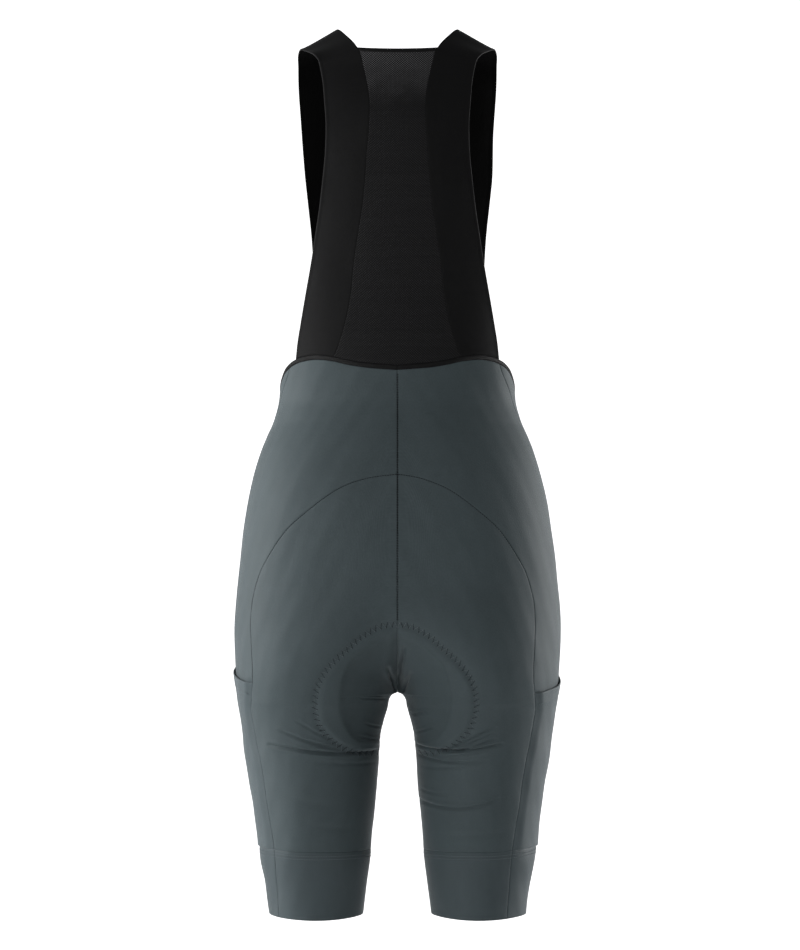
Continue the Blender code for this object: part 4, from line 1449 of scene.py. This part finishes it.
class BIB_OT_pockets(bpy.types.Operator):
    """Lays a pocket with a folded top over the side of each thigh"""

    bl_idname = "bib.pockets"
    bl_label = "Pockets"

    def execute(self, context):
        hem = context.scene.bib_sewing.pocket_hem

        def lift(points, angle, z):
            down = walked(points, 0)
            fold = FOLD_HEIGHT * (1 - ease((down - hem) / FOLD_EDGE))
            gape = POCKET_GAPE * np.exp(-down / GAPE_REACH)
            free = ease(side_distance(points) / POCKET_SLOPE)
            return (POCKET_WALL + POCKET_STANDOFF + fold + gape) * free

        for name, side in SIDES:
            obj = cloth_on_form(f"pocket_knit_{name}", pocket_rows(side), side, POCKET_WALL, lift)
            finished(obj, f"pocket_{name}", "pocket_knit", knit("pocket_knit_cloth"))
        return {"FINISHED"}


class BIB_OT_cuffs(bpy.types.Operator):
    """Adds the wide gripper at the hem of each leg, in its main and side pieces"""

    bl_idname = "bib.cuffs"
    bl_label = "Cuffs"

    def execute(self, context):
        for name, side in SIDES:
            outer = cuff_rows(
                lambda z: back_seam_angle(z, side, HALF_GAP),
                lambda z: side_seam_angle(z, side, -HALF_GAP),
                50,
            )
            main = cuff_rows(
                lambda z: side_seam_angle(z, side, HALF_GAP),
                lambda z: back_seam_angle(z, side, -HALF_GAP) + 2 * math.pi,
                160,
            )
            for piece, rows in (("side", outer), ("main", main)):
                obj = cloth_on_form(f"cuff_{piece}_knit_{name}", rows, side, WALL)
                finished(obj, f"cuff_{piece}_{name}", "cuff_knit", knit("cuff_knit_cloth"))
        return {"FINISHED"}


class BIB_OT_waistband(bpy.types.Operator):
    """Runs the narrow elastic round the waist"""

    bl_idname = "bib.waistband"
    bl_label = "Waistband"

    def execute(self, context):
        fine = np.linspace(-math.pi / 2, math.pi / 2, 8 * FINE_STEPS)
        edge = on_form(fine, waist_z(fine))
        angle = np.interp(even_places(edge, CLOTH_STEP), np.arange(len(fine)), fine)
        rises = BAND_HEIGHT - with_leads(BAND_HEIGHT - HALF_GAP, 7)
        right = np.array([on_form(angle, waist_z(angle) + rise) for rise in rises])
        left = right * [-1, 1, 1]
        ring = np.concatenate([right, left[:, -2:0:-1]], axis=1)
        normal = form_normal(ring)
        bulge = np.sin(math.pi * (BAND_HEIGHT - rises) / BAND_HEIGHT)[:, None, None] * BAND_BULGE
        across = np.arange(ring.shape[1]) * CLOTH_STEP + 0 * ring[..., 0]
        uv = np.stack([across, ring[..., 2]], axis=-1)
        away, base = edge_distance(ring, ring=True), ring + normal * bulge
        obj = cloth("waistband_elastic", base, normal, away, WALL, uv, ring=True)
        finished(obj, "waistband", "black_elastic", black_elastic())
        return {"FINISHED"}


class BIB_OT_straps(bpy.types.Operator):
    """Makes the plain sides of the bib, which run up as straps and over the shoulders"""

    bl_idname = "bib.straps"
    bl_label = "Straps"

    def execute(self, context):
        for name, side in SIDES:
            points = strap_points()
            z = points[..., 2:]
            low = ease((STRAP_SKEW_TOP - z) / (60 * MM)) * ease((z - STRAP_SKEW_FOOT) / (20 * MM))
            points[..., :1] += STRAP_SKEW * (1 + side) / 2 * (points[..., 1:2] > 0) * low
            across = walked(points, 1)
            outer = np.clip((across[:, -1:] - across) / STRAP_TAPE, 0, 1)
            relief = slack(points, side) * ease(side_distance(points) / STRAP_BLEND)
            relief = relief + STRAP_RIDGE * np.sin(math.pi * outer) ** 0.7
            obj = free_sheet(f"bib_strap_knit_{name}", points, side, WALL, relief)
            faces = (points.shape[0] - 1) * (points.shape[1] - 1)
            # The inside faces take the darker copy of the black knit, as painted shade
            shaded_faces = np.zeros(len(obj.data.polygons), int)
            shaded_faces[faces : 2 * faces] = 1
            obj.data.polygons.foreach_set("material_index", shaded_faces)
            looks = knit("black_knit_cloth"), knit("black_knit_lining")
            finished(obj, f"bib_strap_{name}", "black_knit", *looks)
        return {"FINISHED"}


class BIB_OT_back_mesh(bpy.types.Operator):
    """Makes the mesh panel down the middle of the back"""

    bl_idname = "bib.back_mesh"
    bl_label = "Back Mesh"

    def execute(self, context):
        sizes = context.scene.bib_cloth
        points = mesh_points()
        relief = slack(points, 0.4) * 0.6 * ease(side_distance(points) / STRAP_BLEND)
        obj = free_sheet("back_panel_mesh", points, 1, WALL, relief)
        weave = sizes.black_colour, sizes.mesh_pitch, sizes.mesh_rise
        finished(obj, "back_mesh_panel", "black_mesh", mesh_material("black_mesh_cloth", *weave))
        return {"FINISHED"}


class BIB_OT_neck_binding(bpy.types.Operator):
    """Binds the top edge of the mesh panel"""

    bl_idname = "bib.neck_binding"
    bl_label = "Neck Binding"

    def execute(self, context):
        rises = SEAM_GAP + BINDING_HEIGHT - with_leads(BINDING_HEIGHT, 8)
        shares = with_leads(MESH_WIDTH, 60) / MESH_WIDTH
        points = np.array([neck_row(rise, shares) for rise in rises])
        bulge = np.sin(math.pi * (rises - SEAM_GAP) / BINDING_HEIGHT)[:, None] * BINDING_BULGE
        relief = bulge + 0 * points[..., 0]
        obj = free_sheet("neck_binding_tape", points, 1, BINDING_WALL, relief, tape=True)
        finished(obj, "neck_binding", "black_elastic", black_elastic())
        return {"FINISHED"}


class BIB_OT_pad(bpy.types.Operator):
    """Makes the seat pad inside the crotch"""

    bl_idname = "bib.pad"
    bl_label = "Seat Pad"

    def execute(self, context):
        lines = []
        across = np.linspace(0, 1, PAD_COLUMNS) ** PAD_CROWDING
        for line in PAD_LINES:
            start = middle_angle(line.middle_z * MM, line.behind)
            end = angle_at(line.end_x * MM, line.end_z * MM, line.behind)
            height = line.middle_z * MM + (line.end_z - line.middle_z) * MM * across
            lines.append(on_form(start + (end - start) * across, height))
        share = np.linspace(0, 1, PAD_ROWS)
        half = through_rows(lines, share)
        normals = form_normal(half)
        ends = np.sqrt(np.sin(math.pi * (0.02 + 0.96 * share)))[:, None, None]
        across = across[None, :, None]
        rim = np.sqrt(np.clip(1 - across**8, 0.02, 1))
        thick = PAD_EDGE * rim + PAD_CROWN * (1 - across**2) * ends
        place = np.moveaxis(half, -1, 0)
        pressed = [crease_depth(*place, side) - pad_lift(*place, side) for _, side in SIDES]
        pressed = np.maximum(*pressed)
        outside = half - normals * (WALL + PAD_CLEARANCE + np.maximum(pressed, 0)[..., None])
        pushed = [drawn_in(half, side) for _, side in SIDES]
        outside[..., 1] += np.where(pushed[0] > 0, np.maximum(*pushed), np.minimum(*pushed))
        outside, inner = (
            np.concatenate([face[:, :0:-1] * [-1, 1, 1], face], axis=1)
            for face in (outside, outside - normals * thick)
        )
        obj = shell("seat_pad_foam", outside, inner, outside[..., ::2])
        look = foam_material("brushed_pad_foam", context.scene.bib_cloth.pad_colour)
        finished(obj, "seat_pad", "pad_foam", look)
        return {"FINISHED"}


class BIB_OT_zigzag(bpy.types.Operator):
    """Sews the three-step zigzag that holds the pad, which shows outside"""

    bl_idname = "bib.zigzag"
    bl_label = "Pad Zigzag"

    def execute(self, context):
        sewing = context.scene.bib_sewing
        stitches, outward = [], []
        edges = (-1, PAD_BACK_EDGE), (1, PAD_FRONT_EDGE)
        for side, face, edge in [(side, *edge) for _, side in SIDES for edge in edges]:
            line = pad_line(edge, side, face, 160)
            middle = at_places(line, even_places(line, sewing.zigzag_pitch / len(ZIGZAG)))
            along = np.gradient(middle, axis=0)
            along /= np.linalg.norm(along, axis=1, keepdims=True)
            offset = np.resize(ZIGZAG, len(middle)) * sewing.zigzag_width / 2
            x = np.maximum(middle[:, 0] - along[:, 1] * offset, ZIGZAG_LEAST_X)
            z = middle[:, 1] + along[:, 0] * offset
            points, normal = sewn_route(angle_at(x, z, face < 0), z, side)
            inset = (points[1:] - points[:-1]) * ZIGZAG_GAP
            middles = (normal[1:] + normal[:-1]) / 2
            stitches.append((points[:-1] + inset, points[1:] - inset, middles))
            outward.append(np.arange(len(inset)) % len(ZIGZAG) < 3)
        stitches = [np.concatenate(part) for part in zip(*stitches)]
        outward = np.concatenate(outward)
        # One zigzag thread in lit and shaded copies: the outward strokes take the light thread as
        # painted highlight, the back strokes the dark thread as painted shade
        for name, look, sewn in (
            ("pad_zigzag_out_stitches", thread("light"), outward),
            ("pad_zigzag_back_stitches", thread("dark"), ~outward),
        ):
            sew(name, *(part[sewn] for part in stitches), look)
        return {"FINISHED"}


class BIB_OT_seam_stitches(bpy.types.Operator):
    """Sews the centre back and arched seams, the cuffs' twin rows and the pockets' hems"""

    bl_idname = "bib.seam_stitches"
    bl_label = "Seam Stitches"

    def execute(self, context):
        sewing = context.scene.bib_sewing
        seams, hems = [], []
        for _, side in SIDES:

            def hem_z(angle):
                return pocket_edge_z(angle, side) - sewing.pocket_hem

            def row(rows, angle, z, rise=0.0):
                points, normal = sewn_route(angle, z, side)
                rows.append(straight_stitches(points + normal * rise, normal, sewing.stitch))

            z = np.linspace(CENTRE_SEAM_TOP, CENTRE_SEAM_FOOT, FINE_STEPS)
            row(seams, angle_at(CENTRE_ROW_X + 0 * z, z, True), z)
            # The arched seam's row is real stitching, sunk into the seam's groove in the dark
            # thread so that it also paints shade along the seam
            x, z = arch_at(np.linspace(0, arch_length_at(ARCH_ROW_FOOT), 3 * FINE_STEPS), side, 0)
            row(seams, angle_at(np.maximum(x, CENTRE_ROW_X), z, True), z, -ARCH_ROW_SINK)
            angle = np.linspace(0, 2 * math.pi, 4 * FINE_STEPS)
            for drop in CUFF_ROWS_DOWN:
                row(hems, angle, cuff_seam_z(angle) - drop)
            start = crossing(lambda z: back_seam_angle(z, side, HEM_ROW_INSET), hem_z)
            end = crossing(lambda z: side_seam_angle(z, side, -HEM_ROW_INSET), hem_z)
            angle = np.linspace(start, end, FINE_STEPS)
            row(hems, angle, hem_z(angle) + HEM_ROW_RISE, POCKET_STITCH_RISE)
        for name, look, rows in (
            ("seam_stitches", thread("dark"), seams),
            ("hem_stitches", thread("light"), hems),
        ):
            sew(name, *(np.concatenate(part) for part in zip(*rows)), look)
        return {"FINISHED"}


class BIB_OT_stage(bpy.types.Operator):
    """Sets up the pale paper, the soft lights and the camera"""

    bl_idname = "bib.stage"
    bl_label = "Studio"

    def execute(self, context):
        settings = context.scene.bib_stage
        floor_z = HEM_Z - settings.floor_drop
        bpy.ops.object.select_all(action="DESELECT")
        bpy.ops.mesh.primitive_plane_add(
            size=1, location=(0, PAPER_BACK - PAPER_LENGTH / 2, floor_z)
        )
        paper = context.object
        paper.name = "studio_paper"
        paper.scale = (PAPER_WIDTH, PAPER_LENGTH, 1)
        bpy.ops.object.transform_apply(location=True, rotation=True, scale=True)
        bpy.ops.object.mode_set(mode="EDIT")
        bpy.ops.mesh.select_all(action="DESELECT")
        bpy.ops.object.mode_set(mode="OBJECT")
        for edge in paper.data.edges:
            ends = [paper.data.vertices[v].co.y for v in edge.vertices]
            edge.select = min(ends) > PAPER_BACK - 0.01
        bpy.ops.object.mode_set(mode="EDIT")
        bpy.ops.mesh.extrude_region_move(TRANSFORM_OT_translate={"value": (0, 0, PAPER_HEIGHT)})
        bpy.ops.object.mode_set(mode="OBJECT")
        fold = paper.modifiers.new("fold", "BEVEL")
        fold.width = PAPER_FOLD
        fold.segments = 16
        fold.limit_method = "ANGLE"
        bpy.ops.object.modifier_apply(modifier="fold")
        bpy.ops.object.shade_smooth()
        look = paper_material("studio_paper", settings.paper_colour, PAPER_GLOW)
        paper.data.materials.append(look)
        aim = Vector((0, 0, MIDDLE_Z))
        for name, place, energy, size in (
            ("key_light", (-2.45, 0.45, -0.2), settings.key_power, 1.4),
            ("rim_light", (2.15, 1.15, -0.35), settings.rim_power, 1.2),
            ("fill_light", (-1.95, -2.65, 0.3), settings.fill_power, 1.8),
        ):
            bpy.ops.object.light_add(type="AREA", location=place)
            light = context.object
            light.name = name
            light.data.energy = energy
            light.data.shape = "SQUARE"
            light.data.size = size
            light.rotation_euler = (aim - Vector(place)).to_track_quat("-Z", "Y").to_euler()
        world = bpy.data.worlds.new("studio_light")
        world.use_nodes = True
        background = world.node_tree.nodes["Background"]
        background.inputs["Color"].default_value = (1, 1, 1, 1)
        background.inputs["Strength"].default_value = AMBIENT
        context.scene.world = world
        bpy.ops.object.camera_add(
            location=(CAMERA_X, -CAMERA_DISTANCE, MIDDLE_Z), rotation=(math.pi / 2, 0, 0)
        )
        camera = context.object
        camera.data.lens = camera.data.sensor_width * CAMERA_DISTANCE / PICTURE_HEIGHT
        camera.data.clip_end = 50
        context.scene.camera = camera
        context.scene.view_settings.view_transform = "Standard"
        return {"FINISHED"}


OPERATORS = (
    BIB_OT_panels,
    BIB_OT_pockets,
    BIB_OT_cuffs,
    BIB_OT_waistband,
    BIB_OT_straps,
    BIB_OT_back_mesh,
    BIB_OT_neck_binding,
    BIB_OT_pad,
    BIB_OT_zigzag,
    BIB_OT_seam_stitches,
    BIB_OT_stage,
)


class BIB_PT_sidebar(bpy.types.Panel):
    """The settings, with a button for each piece"""

    bl_label = "Bib Shorts"
    bl_idname = "BIB_PT_sidebar"
    bl_space_type = "VIEW_3D"
    bl_region_type = "UI"
    bl_category = "Bib Shorts"

    def draw(self, context):
        for name in ("bib_cloth", "bib_sewing", "bib_stage"):
            settings = getattr(context.scene, name)
            box = self.layout.box()
            for key in settings.__annotations__:
                box.prop(settings, key)
        for operator in OPERATORS:
            self.layout.operator(operator.bl_idname)


CLASSES = (BibCloth, BibSewing, BibStage, *OPERATORS, BIB_PT_sidebar)


def register():
    for cls in CLASSES:
        bpy.utils.register_class(cls)
    bpy.types.Scene.bib_cloth = PointerProperty(type=BibCloth)
    bpy.types.Scene.bib_sewing = PointerProperty(type=BibSewing)
    bpy.types.Scene.bib_stage = PointerProperty(type=BibStage)


def unregister():
    del bpy.types.Scene.bib_stage
    del bpy.types.Scene.bib_sewing
    del bpy.types.Scene.bib_cloth
    for cls in reversed(CLASSES):
        bpy.utils.unregister_class(cls)


def main():
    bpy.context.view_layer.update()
    register()
    bpy.ops.bib.panels()
    bpy.ops.bib.pockets()
    bpy.ops.bib.cuffs()
    bpy.ops.bib.waistband()
    bpy.ops.bib.straps()
    bpy.ops.bib.back_mesh()
    bpy.ops.bib.neck_binding()
    bpy.ops.bib.pad()
    bpy.ops.bib.zigzag()
    bpy.ops.bib.seam_stitches()
    bpy.ops.bib.stage()
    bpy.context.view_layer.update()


if __name__ == "__main__":
    main()
